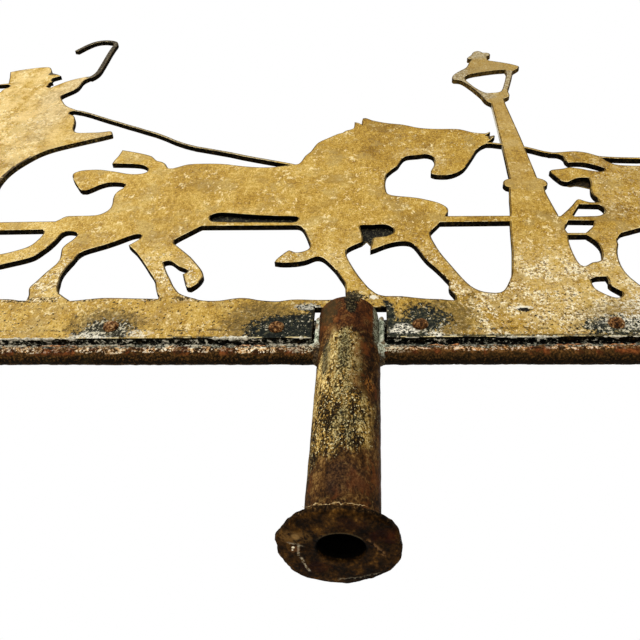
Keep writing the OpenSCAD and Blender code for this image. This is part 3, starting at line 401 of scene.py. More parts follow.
    # underneath, behind a clean black line, the foot is mottled with old primer
    clot = s.add(s.mul(s.fbm(360, 3, .6, (1, 1, 1), 93), .6), s.mul(grain, .4), s.step(x, 0, 30, .004, -.028))
    ashes = s.ramp(s.sharp(clot, 1.8), [(.42, s8(6, 8, 9)), (.50, s8(30, 33, 31)), (.56, s8(116, 116, 102)), (.64, s8(240, 236, 222))])
    under = s.mul(s.step(z, 9.5, 9), s.step(y, -4.4, -3.6), s.step(s.fbm(40, 3, .6, (1, .2, 1), 63), .40, .52))
    soot_and_shade = s.mix(under, soot_and_shade, ashes)
    # painted light: walls that look up, and the walls of the high parts, are paler brown
    soot_and_shade = s.mix(s.mul(s.step(s.nz, .15, .6), .8), soot_and_shade, s8(140, 116, 66))
    soot_and_shade = s.mix(s.mul(high, .85), soot_and_shade, tan)
    # painted shadow: the apron's walls are brown, part of the painted shadow under its lower edge
    hem_shadow_wall = s.mul(s.step(x, -204, -212), s.window(z, 150, 268, 3))
    soot_and_shade = s.mix(s.mul(hem_shadow_wall, s.step(small, .44, .58, .15, .95)), soot_and_shade, s.ramp(grain, [(.42, s8(30, 24, 10)), (.52, s8(66, 53, 25)), (.62, s8(118, 98, 54))]))
    pane = s.mul(s.window(x, 84, 136, 1), s.window(z, 350, 377, 1), s.step(s.nz, -.3, -.6))
    soot_and_shade = s.mix(s.mul(pane, .8), soot_and_shade, s.ramp(small, [(.42, s8(44, 33, 14)), (.58, s8(82, 63, 26))]))
    # painted light: the post's walls that look left are pale grey
    lit_post_wall = s.mul(s.step(s.nx, -.5, -.8), s.window(x, 105, 118, 2), s.step(z, 205, 250), s.step(z, 302, 296))
    soot_and_shade = s.mix(s.mul(lit_post_wall, .95), soot_and_shade, painted_lit_grey)
    # painted shadow: the walls of the blind slots are black
    groove = s.most(s.mul(s.window(x, -101, -37, .5), s.window(z, 124.2, 139, .3)), s.mul(s.window(x, 5, 28, .5), s.window(z, 97, 121, .3)),
                    s.mul(s.window(x, 147, 165, .5), s.window(z, 164, 170, .3)))
    soot_and_shade = s.mix(groove, soot_and_shade, s8(5, 5, 4))
    col = s.mix(wall, col, soot_and_shade)
    # the back is plainer and rustier
    rear = s.step(s.ny, .5, .8)
    worn = s.ramp(s.add(s.mul(mid, .5), s.mul(small, .5)), [(.40, s8(92, 66, 34)), (.50, s8(120, 89, 45)),
                                                           (.56, s8(146, 114, 58)), (.64, s8(170, 138, 76))])
    col = s.mix(rear, col, worn)
    height = s.add(s.mul(small, .7), s.mul(grain, 1.1), s.mul(pit, -.8))
    rough = s.add(.50, s.mul(small, .25), s.mul(dark, .1), s.mul(wall, .1))
    s.put(s.b.inputs["Specular IOR Level"], s.op("MULTIPLY_ADD", s.most(wall, s.mul(rim, .9), s.mul(dark, .5)), -.13, .14))
    return s.finish(col, height, rough, .6, .0003)


def rod_rust():
    s = Paint("rod_rust", .75, 0, .06)
    x = s.x
    mid = s.fbm(75, 3, .6, (1, 1.4, 1.4), 3)
    small = s.fbm(300, 4, .65, (1, 1, 1), 9)
    grain = s.fbm(860, 3, .7, seed=15)
    big = s.fbm(22, 3, .6, (1, .4, .4), 19)
    # how far round the rod towards the upper front: 1 there, -1 at the lower back
    h = s.add(s.mul(s.op("ABSOLUTE", s.y), .144), s.mul(s.z, .138))
    left = s.step(x, 20, -20)
    # painted shade: the base rust darkens towards the lower back of the rod and pales towards the upper front
    v = s.add(h, s.mul(mid, .9), s.mul(small, 1.3), s.mul(grain, 1.9), -2.05)
    col = s.ramp(s.op("MULTIPLY_ADD", v, .5, .5), [(.22, s8(20, 13, 5)), (.40, s8(46, 32, 12)), (.58, s8(64, 44, 18)),
                                                (.72, s8(84, 55, 25)), (.86, s8(124, 88, 48))])
    olive = s.mul(s.step(big, .50, .60), s.step(h, .5, 0), .6, left)
    col = s.mix(olive, col, s8(50, 46, 24))
    bits = s.mul(s.step(grain, .54, .60), s.step(h, -.9, -.2), s.add(.32, s.mul(left, .2)))
    col = s.mix(bits, col, s8(122, 84, 42))
    holes = s.mul(s.step(grain, .455, .41), s.add(.45, s.mul(left, .3)))
    col = s.mix(holes, col, s8(12, 8, 3))
    run = s.step(s.fbm(34, 4, .65, (1, .3, .3), 33), .42, .54)
    here = s.most(s.step(x, -184, -188), s.window(x, -144, -123, 3), s.mul(s.window(x, -120, -96, 3), .5), s.window(x, -87, -72, 2), s.window(x, -63, -46, 2),
                  s.window(x, 22, 42, 2), s.window(x, 56, 70, 2), s.mul(s.window(x, 76, 96, 2), .4), s.window(x, 107, 138, 2))
    gone = s.most(s.window(x, -168, -152, 2), s.window(x, -96, -89, 1.5), s.window(x, -70, -64, 1.5), s.window(x, 96, 105, 2), s.window(x, 138, 150, 2))
    run = s.op("SUBTRACT", s.add(s.mul(run, .6), s.mul(here, .5)), s.mul(gone, .8), clamp=True)
    rust = s.mul(s.most(s.step(s.fbm(110, 4, .65, seed=27), .53, .61), s.mul(s.step(run, .5, .1), s.step(small, .42, .52))), s.step(h, -.2, .4))
    col = s.mix(s.mul(rust, .85), col, s.ramp(small, [(.40, s8(54, 23, 9)), (.54, s8(92, 45, 19)), (.66, s8(150, 86, 44))]))
    # peach and white crust along the top, in runs, wider on the left
    start = s.add(s.mul(left, -.22), .40, s.mul(mid, -.9), .45)
    top = s.step(h, start, s.op("ADD", start, .22))
    clot = s.add(s.mul(s.fbm(330, 3, .6, (1, 1, 1), 37), .6), s.mul(grain, .4))
    gap = s.mul(top, s.step(clot, .49, .45), .9)
    col = s.mix(gap, col, s8(30, 19, 8))
    cut = s.add(.626, s.mul(top, -.085), s.mul(run, -.035), s.mul(left, -.018))
    peach = s.mul(s.step(clot, cut, s.op("ADD", cut, .02)), top, s.add(s.mul(run, .80), .20))
    col = s.mix(peach, col, s.ramp(s.add(s.mul(small, .3), s.mul(grain, .7)), [(.40, s8(140, 88, 42)), (.48, s8(212, 160, 100)), (.52, s8(244, 220, 174)), (.58, s8(255, 252, 238))]))
    col = s.mix(s.mul(peach, s.neg(left), .35), col, s8(186, 112, 50))
    lime = s.mul(s.step(s.op("ABSOLUTE", x), 36, 22), s.step(h, .15, .5), s.step(grain, .50, .56))
    col = s.mix(s.mul(lime, .85), col, s8(222, 216, 190))
    soot_and_shade = s.mul(s.step(s.add(h, s.mul(mid, .6)), 1.02, 1.22), s.step(small, .44, .52))
    col = s.mix(soot_and_shade, col, s.ramp(grain, [(.42, s8(18, 22, 22)), (.54, s8(84, 88, 78)), (.64, s8(206, 206, 190))]))
    return s.finish(col, s.add(small, s.mul(grain, 1.0)), s.add(.62, s.mul(small, .25)), .8, .0004)


def strip_paint():
    s = Paint("strip_paint", .7, 0, .06)
    small = s.fbm(300, 4, .65, seed=5)
    grain = s.fbm(820, 3, .7, seed=13)
    mid = s.fbm(60, 4, .6, (1, 1, 2), 21)
    clot = s.add(s.mul(s.fbm(360, 3, .6, (1, 1, 1), 23), .6), s.mul(grain, .4))
    right = s.step(s.x, 0, 30)
    col = s.ramp(s.sharp(s.add(clot, s.mul(right, -.02)), 1.8), [(.42, s8(5, 7, 8)), (.52, s8(24, 27, 26)),
                                                           (.59, s8(94, 94, 80)), (.68, s8(216, 212, 194))])
    lime = s.mul(s.step(s.add(s.z, s.mul(small, 4), -2), s.add(8.6, s.mul(right, -1.2)), s.add(7.0, s.mul(right, -1.2))), s.step(clot, .46, .50), s.step(mid, .34, .46))
    col = s.mix(lime, col, s.ramp(grain, [(.42, s8(206, 196, 168)), (.54, s8(240, 236, 220))]))
    col = s.mix(s.mul(s.step(mid, .55, .66), s.step(s.z, 8, 11), .8), col, s.ramp(small, [(.4, s8(58, 34, 18)), (.6, s8(126, 76, 36))]))
    worn = s.mul(s.step(s.ny, .4, .8), s.step(s.fbm(110, 4, .7, seed=31), .46, .6))
    col = s.mix(worn, col, s.ramp(small, [(.4, s8(92, 66, 32)), (.6, s8(160, 128, 66))]))
    return s.finish(col, s.add(small, s.mul(grain, .6)), None, .6, .0004)


def tube_rust():
    s = Paint("tube_rust", .66, 0, .05)
    x, y, z = s.x, s.y, s.z
    small = s.fbm(300, 4, .7, (1, 1, .75), 3)
    grain = s.fbm(980, 3, .75, (1, 1, .7), 9)
    mid = s.fbm(60, 4, .6, (1, 1, .6), 15)
    run = s.fbm(190, 4, .7, (1, 1, .22), 21)
    col = s.ramp(s.sharp(s.add(s.mul(small, .35), s.mul(mid, .30), s.mul(grain, .35)), 1.4),
                 [(.39, s8(18, 9, 3)), (.46, s8(48, 29, 12)), (.52, s8(76, 49, 22)), (.58, s8(104, 73, 37)), (.66, s8(156, 121, 70))])
    mud = s.step(s.fbm(130, 4, .7, (1, 1, .9), 51), .56, .64)
    col = s.mix(s.mul(mud, .7), col, s.ramp(grain, [(.42, s8(92, 66, 34)), (.58, s8(146, 116, 68))]))
    blot = s.step(s.fbm(120, 4, .7, (1, 1, .9), 57), .57, .65)
    col = s.mix(s.mul(blot, .7), col, s8(36, 19, 9))
    # redder above the paint
    red = s.mul(s.step(z, -4, 12), .55)
    col = s.mix(red, col, s.ramp(s.add(s.mul(small, .5), s.mul(grain, .5)), [(.40, s8(40, 20, 8)), (.50, s8(84, 44, 20)), (.60, s8(112, 62, 30))]))
    # worn ochre paint: an arch under the top, on the front and left, down to three quarters of the length
    face = s.step(s.add(x, s.mul(mid, 12), s.mul(grain, 16), -14, s.step(z, -50, -34, 0, 8.5)), 16.0, 9.0)          # less on the right
    lid = s.add(3.6, s.mul(s.mul(x, x), -.080), s.mul(small, 12), s.mul(grain, 8), -10)
    upto = s.step(s.op("SUBTRACT", lid, z), -1.5, 1.5)
    floor_z = s.add(s.mul(x, .42), s.mul(mid, 26), s.mul(grain, 10), -97)
    downto = s.step(s.op("SUBTRACT", z, floor_z), -3, 3)
    zone = s.mul(face, upto, downto, s.step(y, 6, -4))
    left = s.step(x, -6, -13.5)
    ochre = s.ramp(s.sharp(s.add(s.mul(run, .40), s.mul(small, .15), s.mul(grain, .45), s.mul(left, .004), s.step(z, -40, -64, .007, -.022)), 2.1),
                   [(.37, s8(16, 12, 6)), (.44, s8(68, 52, 25)), (.505, s8(134, 103, 46)), (.56, s8(184, 146, 70)),
                    (.64, s8(244, 218, 146))])
    keep = s.step(s.add(s.mul(run, .4), s.mul(small, .3), s.mul(grain, .3), s.mul(left, .05)), .40, .46)
    col = s.mix(s.mul(zone, keep), col, ochre)
    nick = s.mul(zone, s.step(s.fbm(820, 2, .6, (1, 1, .8), 101), .60, .63))
    col = s.mix(s.mul(nick, .9), col, s8(16, 13, 7))
    crumb = s.mul(zone, keep, s.step(s.fbm(860, 2, .6, (1, 1, .8), 103), .62, .65))
    col = s.mix(s.mul(crumb, .9), col, s8(250, 234, 182))
    # blue-green and black runs in the middle of the front
    cool = s.mul(zone, s.spot(x, z, 0, -34, 10, 46, mid, 1.8, .4), s.step(run, .455, .52))
    col = s.mix(s.mul(cool, .6), col, s.ramp(grain, [(.41, s8(18, 19, 14)), (.49, s8(66, 66, 46)), (.55, s8(108, 110, 82)), (.64, s8(176, 178, 146))]))
    mossy = s.mul(s.spot(x, z, -2.0, -12, 3.4, 16, s.add(s.mul(run, .6), s.mul(grain, .4)), 2.4), s.step(y, 0, -4))
    col = s.mix(s.mul(mossy, .65), col, s.ramp(grain, [(.42, s8(16, 16, 10)), (.52, s8(70, 68, 44)), (.62, s8(158, 156, 118))]))
    soot_and_shade = s.mul(s.spot(x, z, -11.0, -15, 2.4, 15, s.add(s.mul(small, .5), s.mul(grain, .5)), 2.4), s.step(y, 0, -4))
    col = s.mix(s.mul(soot_and_shade, .75), col, s.ramp(grain, [(.42, s8(18, 22, 20)), (.58, s8(74, 78, 64))]))
    # rusty right side, warm patches
    warm = s.mul(s.step(s.fbm(90, 4, .65, (1, 1, .6), 39), .54, .64), s.op("SUBTRACT", 1.0, zone))
    col = s.mix(s.mul(warm, .5), col, s8(120, 64, 26))
    glow = s.mul(s.spot(x, z, 11.5, -34, 2.8, 6, grain, 3.0), s.step(y, 0, -4), s.step(grain, .49, .56))
    col = s.mix(s.mul(glow, .65), col, s8(172, 112, 48))
    # painted highlight: a pale cream column left of the tube's front, in the ochre paint
    highlight_column = s.mul(s.spot(x, z, -7.5, -12, 2.6, 17, s.add(s.mul(run, .6), s.mul(grain, .4)), 3.0), s.step(y, 0, -4), s.step(run, .46, .53))
    col = s.mix(s.mul(highlight_column, .75), col, s.ramp(grain, [(.42, s8(150, 122, 66)), (.52, s8(216, 190, 120)), (.60, s8(246, 230, 176))]))
    dim = s.mul(s.step(z, -64, -80), .12)
    col = s.mix(dim, col, s8(52, 32, 13))
    dull = s.mul(s.spot(x, z, 2, -92, 9, 9, mid, 1.4), s.step(y, 0, -4), .35)
    col = s.mix(dull, col, s.ramp(grain, [(.42, s8(40, 26, 20)), (.60, s8(92, 66, 48))]))
    # dark spot at the top right, olive one at the top left, pale green beside the weld on the right
    spot = s.mul(s.most(s.spot(x, z, 1.5, 29, 5.0, 4.5, s.add(s.mul(small, .5), s.mul(grain, .5)), 2.2, .15), s.spot(x, z, 1.0, 22, 3.2, 6.5, s.add(s.mul(small, .5), s.mul(grain, .5)), 2.2, .15)), s.step(y, 0, -6))
    col = s.mix(s.mul(spot, .95), col, s.ramp(s.sharp(grain, 1.4), [(.42, s8(9, 10, 7)), (.54, s8(34, 32, 20)), (.66, s8(116, 106, 74))]))
    green = s.mul(s.spot(x, z, -11, 21, 4.5, 11, small, 2.0), s.step(y, 0, -6))
    col = s.mix(s.mul(green, .6), col, s8(66, 58, 34))
    # painted shade: the outermost slivers left and right are painted darker, and the bore is painted black
    turn = s.step(s.op("ABSOLUTE", x), 14.0, 16.9)
    col = s.mix(s.mul(turn, .48), col, s8(32, 18, 6))
    side = s.mul(s.step(s.add(x, s.mul(small, 4), -2), 12.6, 14.0), s.step(z, -3, 3), s.step(s.add(s.mul(small, .5), s.mul(grain, .5)), .43, .50), s.step(y, 4, 0))
    col = s.mix(s.mul(side, .75), col, s.ramp(grain, [(.40, s8(58, 60, 44)), (.50, s8(128, 138, 116)), (.60, s8(190, 198, 178))]))
    r2 = s.add(s.mul(x, x), s.mul(y, y))
    col = s.mix(s.step(r2, 215, 200), col, s8(5, 4, 3))
    return s.finish(col, s.add(s.mul(small, .9), s.mul(grain, 1.2), s.mul(s.mul(zone, keep), .4)),
                    s.add(.52, s.mul(small, .3)), .8, .0005)


def collar_rust():
    s = Paint("collar_rust", .7, 0, .03)
    x, y, z = s.x, s.y, s.z
    small = s.fbm(210, 4, .65, (1.15, .65, 1), 3)
    grain = s.fbm(700, 3, .7, (1, .65, 1), 9)
    mid = s.fbm(70, 4, .6, (1.15, .65, 1), 15)
    west = s.step(x, 12, -14, -.035, .012)
    near = s.step(y, 6, -14, -.012, .012)
    col = s.ramp(s.sharp(s.add(s.mul(small, .36), s.mul(mid, .34), s.mul(grain, .30), west, near), 1.3),
                 [(.37, s8(9, 4, 1)), (.45, s8(28, 15, 3)), (.53, s8(56, 35, 11)), (.62, s8(92, 61, 23)), (.71, s8(150, 112, 54))])
    red = s.most(s.spot(x, y, 18, -9.6, 6, 5, small, 1.8), s.spot(x, y, -11.5, 15.2, 6, 4, small, 1.8),
                 s.mul(s.spot(x, y, 4, -18, 6, 4, small, 1.8), .4))
    col = s.mix(s.mul(red, s.step(mid, .40, .60, .2, .7)), col, s8(58, 16, 5))
    # a soft brown patch at the left, with a painted highlight (glint) in it
    bright = s.mul(s.spot(x, y, -19, -8, 8, 5, small, 2.6), s.step(small, .42, .58))
    col = s.mix(s.mul(bright, .6), col, s8(128, 94, 50))
    glint = s.mul(s.spot(x, y, -18.5, -8, 1.6, 2.2, small, 2.6), .45)
    col = s.mix(glint, col, s8(176, 138, 84))
    flat = s.step(s.nz, -.5, -.8)
    wob = s.op("MULTIPLY_ADD", small, 2.4, -1.2)
    wx, wy = s.add(x, wob), s.add(y, s.mul(s.op("MULTIPLY_ADD", grain, 6, -3), -1))
    line = s.most(s.stroke(wx, y, (-17.6, -2.5), (-18.4, 6), .45), s.stroke(wx, y, (-17.4, 8), (-14.7, 18.7), .5),
                  s.mul(s.stroke(x, wy, (-2, 24.6), (9, 22.6), .35), .5), s.mul(s.stroke(x, wy, (9, 22), (16, 19), .35), .45),
                  s.mul(s.stroke(wx, wy, (-22, -4), (-16, -1), .35), .6))
    tan = s.mul(s.most(s.stroke(wx, wy, (11.5, -7.5), (18, 3), .7, .8), s.stroke(wx, wy, (17, 3), (18.5, 6), .5)), s.step(small, .40, .56), flat)
    col = s.mix(s.mul(tan, .7), col, s.ramp(grain, [(.42, s8(96, 58, 28)), (.58, s8(150, 112, 70))]))
    line = s.mul(line, s.step(s.fbm(420, 3, .7, seed=33), .32, .46), flat)
    col = s.mix(s.mul(line, .8), col, s.ramp(grain, [(.42, s8(104, 82, 52)), (.56, s8(206, 194, 168))]))
    chip = s.most(s.spot(x, y, -20.3, .2, .75, .85, small, 2.6, .15), s.spot(x, y, -20.6, 1.9, .45, .5, small, 2.6, .15))
    col = s.mix(s.mul(s.spot(x, y, -19.6, 1.4, 2.6, 2.2, small, 3.4, .2), .5), col, s8(116, 76, 42))
    col = s.mix(chip, col, s8(246, 234, 206))
    lip = s.mul(s.window(s.op("SQRT", s.add(s.mul(x, x), s.mul(y, y))), 10.9, 11.9, .3), s.step(y, -5, -8), s.step(grain, .40, .52), flat)
    col = s.mix(s.mul(lip, .6), col, s8(84, 70, 46))
    # dark rim; the bore is painted black, painted shade
    rim = s.step(s.nz, -.35, .05)
    col = s.mix(s.mul(rim, .75), col, s.ramp(grain, [(.44, s8(10, 7, 4)), (.58, s8(52, 36, 18)), (.68, s8(120, 92, 54))]))
    far = s.mul(s.step(y, 1, 6), s.step(z, -114.0, -115.0))
    col = s.mix(s.mul(s.step(s.op("SQRT", s.add(s.mul(x, x), s.mul(y, y))), 11.5, 10.8), s.neg(s.mul(far, .85))), col, s8(4, 3, 2))
    return s.finish(col, s.add(small, s.mul(grain, .8)), s.add(.5, s.mul(small, .3)), .9, .0006)


def weld_crust():
    s = Paint("weld_crust", .8, 0, .08)
    small = s.fbm(320, 4, .65, seed=3)
    grain = s.fbm(900, 3, .7, seed=9)
    col = s.ramp(s.sharp(s.add(s.mul(small, .5), s.mul(grain, .5)), 1.2),
                 [(.37, s8(54, 60, 50)), (.43, s8(134, 144, 126)), (.49, s8(184, 192, 172)), (.56, s8(220, 224, 208)), (.64, s8(250, 252, 242))])
    rust = s.mul(s.step(s.fbm(130, 4, .65, seed=17), .56, .63), .8)
    col = s.mix(rust, col, s.ramp(small, [(.4, s8(76, 50, 26)), (.6, s8(140, 104, 62))]))
    east = s.mul(s.step(s.x, 0, 1), s.step(s.x, 21.5, 19.5))
    flat = s.mul(s.step(s.z, 6.5, 3.5), s.step(grain, .56, .49), s.op("MULTIPLY_ADD", east, -.6, 1))
    col = s.mix(s.mul(flat, .8), col, s8(96, 66, 36))
    # painted shade: the weld's lower part is darker, like the rod's underside
    under = s.step(s.add(s.z, s.mul(small, 5), s.mul(east, 4.5)), 4.6, 1.4)
    col = s.mix(s.mul(under, .95), col, s.ramp(grain, [(.4, s8(24, 17, 9)), (.52, s8(56, 40, 20)), (.64, s8(104, 76, 42))]))
    return s.finish(col, s.add(small, s.mul(grain, .7)), None, .8, .0004)


def rivet_rust():
    s = Paint("rivet_rust", .7, 0, .08)
    small = s.fbm(420, 4, .65, seed=3)
    grain = s.fbm(1000, 3, .7, seed=9)
    col = s.ramp(s.sharp(s.add(s.mul(small, .5), s.mul(grain, .5)), 1.4),
                 [(.37, s8(20, 12, 5)), (.445, s8(66, 40, 19)), (.52, s8(108, 70, 37)), (.59, s8(152, 110, 66)), (.68, s8(224, 194, 148))])
    return s.finish(col, s.add(small, s.mul(grain, .7)), None, .9, .0004)


def plain_metal(name, stops, metal, rough, scale=260, spec=.5):
    s = Paint(name, rough, metal, spec)
    small = s.fbm(scale, 4, .6, seed=3)
    mid = s.fbm(scale / 5, 4, .6, seed=9)
    return s.finish(s.ramp(s.add(s.mul(small, .55), s.mul(mid, .45)), stops), small, s.add(rough - .1, s.mul(small, .25)), .4, .0002)


def crust_lime():
    s = Paint("crust_lime", .85, 0, .2)
    small = s.fbm(420, 4, .65, seed=3)
    grain = s.fbm(1100, 3, .65, seed=9)
    col = s.ramp(s.add(s.mul(small, .5), s.mul(grain, .5)),
                 [(.38, s8(96, 92, 78)), (.46, s8(186, 180, 160)), (.54, s8(232, 228, 212)), (.66, s8(252, 250, 240))])
    return s.finish(col, small, None, .6, .0003)


def crust_peach():
    s = Paint("crust_peach", .85, 0, .2)
    small = s.fbm(330, 4, .65, seed=5)
    mid = s.fbm(60, 4, .65, (1, .3, .3), 9)
    grain = s.fbm(1000, 3, .65, seed=12)
    v = s.add(s.mul(small, .5), s.mul(grain, .5))
    warm = s.ramp(v, [(.38, s8(70, 38, 20)), (.46, s8(160, 92, 50)), (.54, s8(222, 168, 116)), (.64, s8(246, 226, 190))])
    cold = s.ramp(v, [(.38, s8(22, 27, 28)), (.47, s8(70, 76, 70)), (.55, s8(150, 150, 136)), (.64, s8(226, 224, 208))])
    return s.finish(s.mix(s.step(mid, .44, .54), cold, warm), small, None, .6, .0004)


GOLD, ROD, STRIP, TUBE = gold_plate(), rod_rust(), strip_paint(), tube_rust()
COLLAR, WELD, RIVET = collar_rust(), weld_crust(), rivet_rust()
LIME, PEACH = crust_lime(), crust_peach()
IRON = plain_metal("inner_iron", [(.35, s8(44, 36, 26)), (.5, s8(74, 62, 46)), (.65, s8(110, 94, 72))], .6, .55)
BRONZE = plain_metal("bush_bronze", [(.35, s8(104, 74, 36)), (.5, s8(150, 112, 58)), (.65, s8(190, 150, 88))], .9, .42)
BALL = plain_metal("ball_steel", [(.35, s8(150, 150, 152)), (.5, s8(184, 184, 186)), (.65, s8(206, 206, 208))], 1.0, .2, 90)
TAN = plain_metal("burr_tan", [(.38, s8(92, 68, 38)), (.5, s8(160, 130, 84)), (.6, s8(214, 190, 146))], 0, .85, 420, .1)
WASHER = plain_metal("washer_iron", [(.35, s8(46, 36, 26)), (.5, s8(84, 62, 40)), (.65, s8(128, 98, 64))], .4, .65)
CWELD = plain_metal("collar_weld_rust", [(.35, s8(44, 28, 16)), (.5, s8(84, 54, 29)), (.65, s8(134, 98, 58))], .1, .7, 260, .3)

def spindle_steel():
    s = Paint("spindle_steel", .4, .9, .4)
    small = s.fbm(260, 4, .6, seed=3)
    col = s.ramp(small, [(.35, s8(84, 84, 84)), (.5, s8(122, 122, 120)), (.65, s8(158, 156, 152))])
    # painted shade: the spindle's end, deep in the bore, is painted black
    soot_and_shade = s.step(s.z, -92, -98)
    col = s.mix(soot_and_shade, col, s8(6, 5, 4))
    s.put(s.b.inputs["Metallic"], s.step(s.z, -98, -92, 0, .9))
    return s.finish(col, small, s.step(s.z, -98, -92, .9, .4), .4, .0002)


STEEL = spindle_steel()

for name, mat in (("tube_plug", IRON), ("upper_bush", BRONZE), ("spindle", STEEL), ("thrust_ball", BALL)):
    o = nodes[name]
    if not o.material_slots:
        o.data.materials.append(mat)
    for ms in o.material_slots:
        ms.material = mat

# ------------------------------------------------------------------ meshes


def fb(x, y, z, scale, octaves=3, seed=0.0):
    """Seeded noise about 0, for a point in mm."""
    return noise.fractal(Vector((x / scale + seed, y / scale - seed * .7, z / scale + seed * .3)), 1.0, 2.0, octaves)


def piece(name, verts, faces, mat, body, node=None, smooth=True):
    """A mesh piece from points in mm, z from the rods' axis."""
    me = bpy.data.meshes.new(name)
    me.from_pydata([(x * MM, y * MM, z * MM + ROD_Z) for x, y, z in verts], [], faces)
    me.update()
    bm = bmesh.new()
    bm.from_mesh(me)
    bmesh.ops.recalc_face_normals(bm, faces=bm.faces)
    bm.to_mesh(me)
    bm.free()
    me.polygons.foreach_set("use_smooth", [smooth] * len(me.polygons))
    me.materials.append(mat)
    o = bpy.data.objects.new(name, me)
    bpy.context.scene.collection.objects.link(o)
    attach(o, body)
    if node:
        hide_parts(node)
    return o


def grid(nu, nv, at, closed_u=True, cap=(True, True), base=0):
    """Points at(i, j) on a grid that closes round i, and its faces. cap closes the two ends in j with a fan."""
    verts = [at(i, j) for j in range(nv) for i in range(nu)]
    faces = []
    for j in range(nv - 1):
        for i in range(nu if closed_u else nu - 1):
            k = (i + 1) % nu
            faces.append((base + j * nu + i, base + j * nu + k, base + (j + 1) * nu + k, base + (j + 1) * nu + i))
    for end, j in ((0, 0), (1, nv - 1)):
        if cap[end]:
            ring = verts[j * nu:(j + 1) * nu]
            c = tuple(sum(p[a] for p in ring) / nu for a in range(3))
            verts.append(c)
            n = base + len(verts) - 1
            for i in range(nu):
                k = (i + 1) % nu
                faces.append((base + j * nu + i, base + j * nu + k, n))
    return verts, faces


def plate():
    """The cut sheet with its rims broken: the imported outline, beveled by a quarter of a millimetre."""
    src = nodes["silhouette_plate"].data
    bm = bmesh.new()
    bm.from_mesh(src)
    bmesh.ops.remove_doubles(bm, verts=bm.verts, dist=2e-6)
    bmesh.ops.dissolve_degenerate(bm, edges=bm.edges, dist=2e-6)
    rims = [e for e in bm.edges if len(e.link_faces) == 2 and e.calc_face_angle(0) > 1.2 and e.is_convex
            and abs(abs(e.link_faces[0].normal.y) - abs(e.link_faces[1].normal.y)) > .8]
    bmesh.ops.bevel(bm, geom=rims, offset=.00028, offset_type="OFFSET", segments=1, profile=.5, affect="EDGES",
                    clamp_overlap=False)
    # a narrow ring inside the front rims, for worn paint, painted shade and painted highlights: 1 along upper and side
    # rims, .4 along lower ones
    bm.normal_update()
    ring = bm.faces.layers.float.new("rim")
    front = [f for f in bm.faces if f.normal.y < -.99 and abs(f.calc_center_median().y - FRONT * MM) < 1e-4]
    for f in bmesh.ops.inset_region(bm, faces=front, use_boundary=True, use_even_offset=True, thickness=.00065, depth=0)["faces"]:
        out = [g.normal for e in f.edges for g in e.link_faces if g.normal.y > -.98]
        f[ring] = 1.0 if not out or max(q.z + .5 * abs(q.x) for q in out) > 0 else .4
    me = bpy.data.meshes.new("cut_sheet")
    bm.to_mesh(me)
    bm.free()
    me.materials.clear()
    me.materials.append(GOLD)
    me.polygons.foreach_set("material_index", [0] * len(me.polygons))
    me.polygons.foreach_set("use_smooth", [False] * len(me.polygons))
    o = bpy.data.objects.new("cut_sheet", me)
    bpy.context.scene.collection.objects.link(o)
    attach(o, "vane")
    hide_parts("silhouette_plate")
    return o


def rod(name, node, x0, x1, seed):
    nu, step = 48, .9
    nv = int(abs(x1 - x0) / step) + 1

    def at(i, j):
        a = 2 * math.pi * i / nu
        x = x0 + (x1 - x0) * j / (nv - 1)
        c, s = math.cos(a), math.sin(a)
        y, z = 5 * c, 5 * s
        r = 5.1 + .3 * max(0.0, -s) + .2 * fb(x, y, z, 14, 2, seed) + .2 * fb(x, y, z, 3.2, 3, seed + 5)
        top = max(0.0, min(1.0, (s + .35) / .7)) * (1 if c < .2 else .6)
        crust = fb(x, y, z, 1.7, 3, seed + 9)
        r += top * crust * .55 - max(0.0, fb(x, y, z, 2.4, 2, seed + 13) - .35) * .5
        end = min(abs(x - x0), abs(x1 - x)) if abs(x) > 100 else 9
        if end < .9:
            r -= (.9 - end) * .6
        return x, r * c, r * s
    v, f = grid(nu, nv, at)
    return piece(name, v, f, ROD, "vane", node)


def lumpy_box(name, node, lo, hi, step, mat, seed, holes=()):
    """A flat bar with broken rims and a slightly uneven skin."""
    bm = bmesh.new()
    bmesh.ops.create_cube(bm, size=1)
    for v in bm.verts:
        v.co = Vector(tuple(lo[a] if v.co[a] < 0 else hi[a] for a in range(3)))
    bmesh.ops.bevel(bm, geom=bm.edges[:], offset=.45, segments=2, profile=.5, affect="EDGES")
    n = int((hi[0] - lo[0]) / step)
    for k in range(1, n):
        x = lo[0] + (hi[0] - lo[0]) * k / n
        bmesh.ops.bisect_plane(bm, geom=bm.verts[:] + bm.edges[:] + bm.faces[:], plane_co=(x, 0, 0), plane_no=(1, 0, 0))
    for k in range(1, 12):
        z = lo[2] + (hi[2] - lo[2]) * k / 12
        bmesh.ops.bisect_plane(bm, geom=bm.verts[:] + bm.edges[:] + bm.faces[:], plane_co=(0, 0, z), plane_no=(0, 0, 1))
    bm.normal_update()
    for v in bm.verts:
        x, y, z = v.co
        d = .12 * fb(x, y, z, 9, 2, seed) + .10 * fb(x, y, z, 2.5, 2, seed + 4)
        v.co += v.normal * d
    me = bpy.data.meshes.new(name)
    for v in bm.verts:
        v.co = (v.co[0] * MM, v.co[1] * MM, v.co[2] * MM + ROD_Z)
    bm.to_mesh(me)
    bm.free()
    me.polygons.foreach_set("use_smooth", [True] * len(me.polygons))
    me.materials.append(mat)
    o = bpy.data.objects.new(name, me)
    bpy.context.scene.collection.objects.link(o)
    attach(o, "vane")
    if node:
        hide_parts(node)
    return o


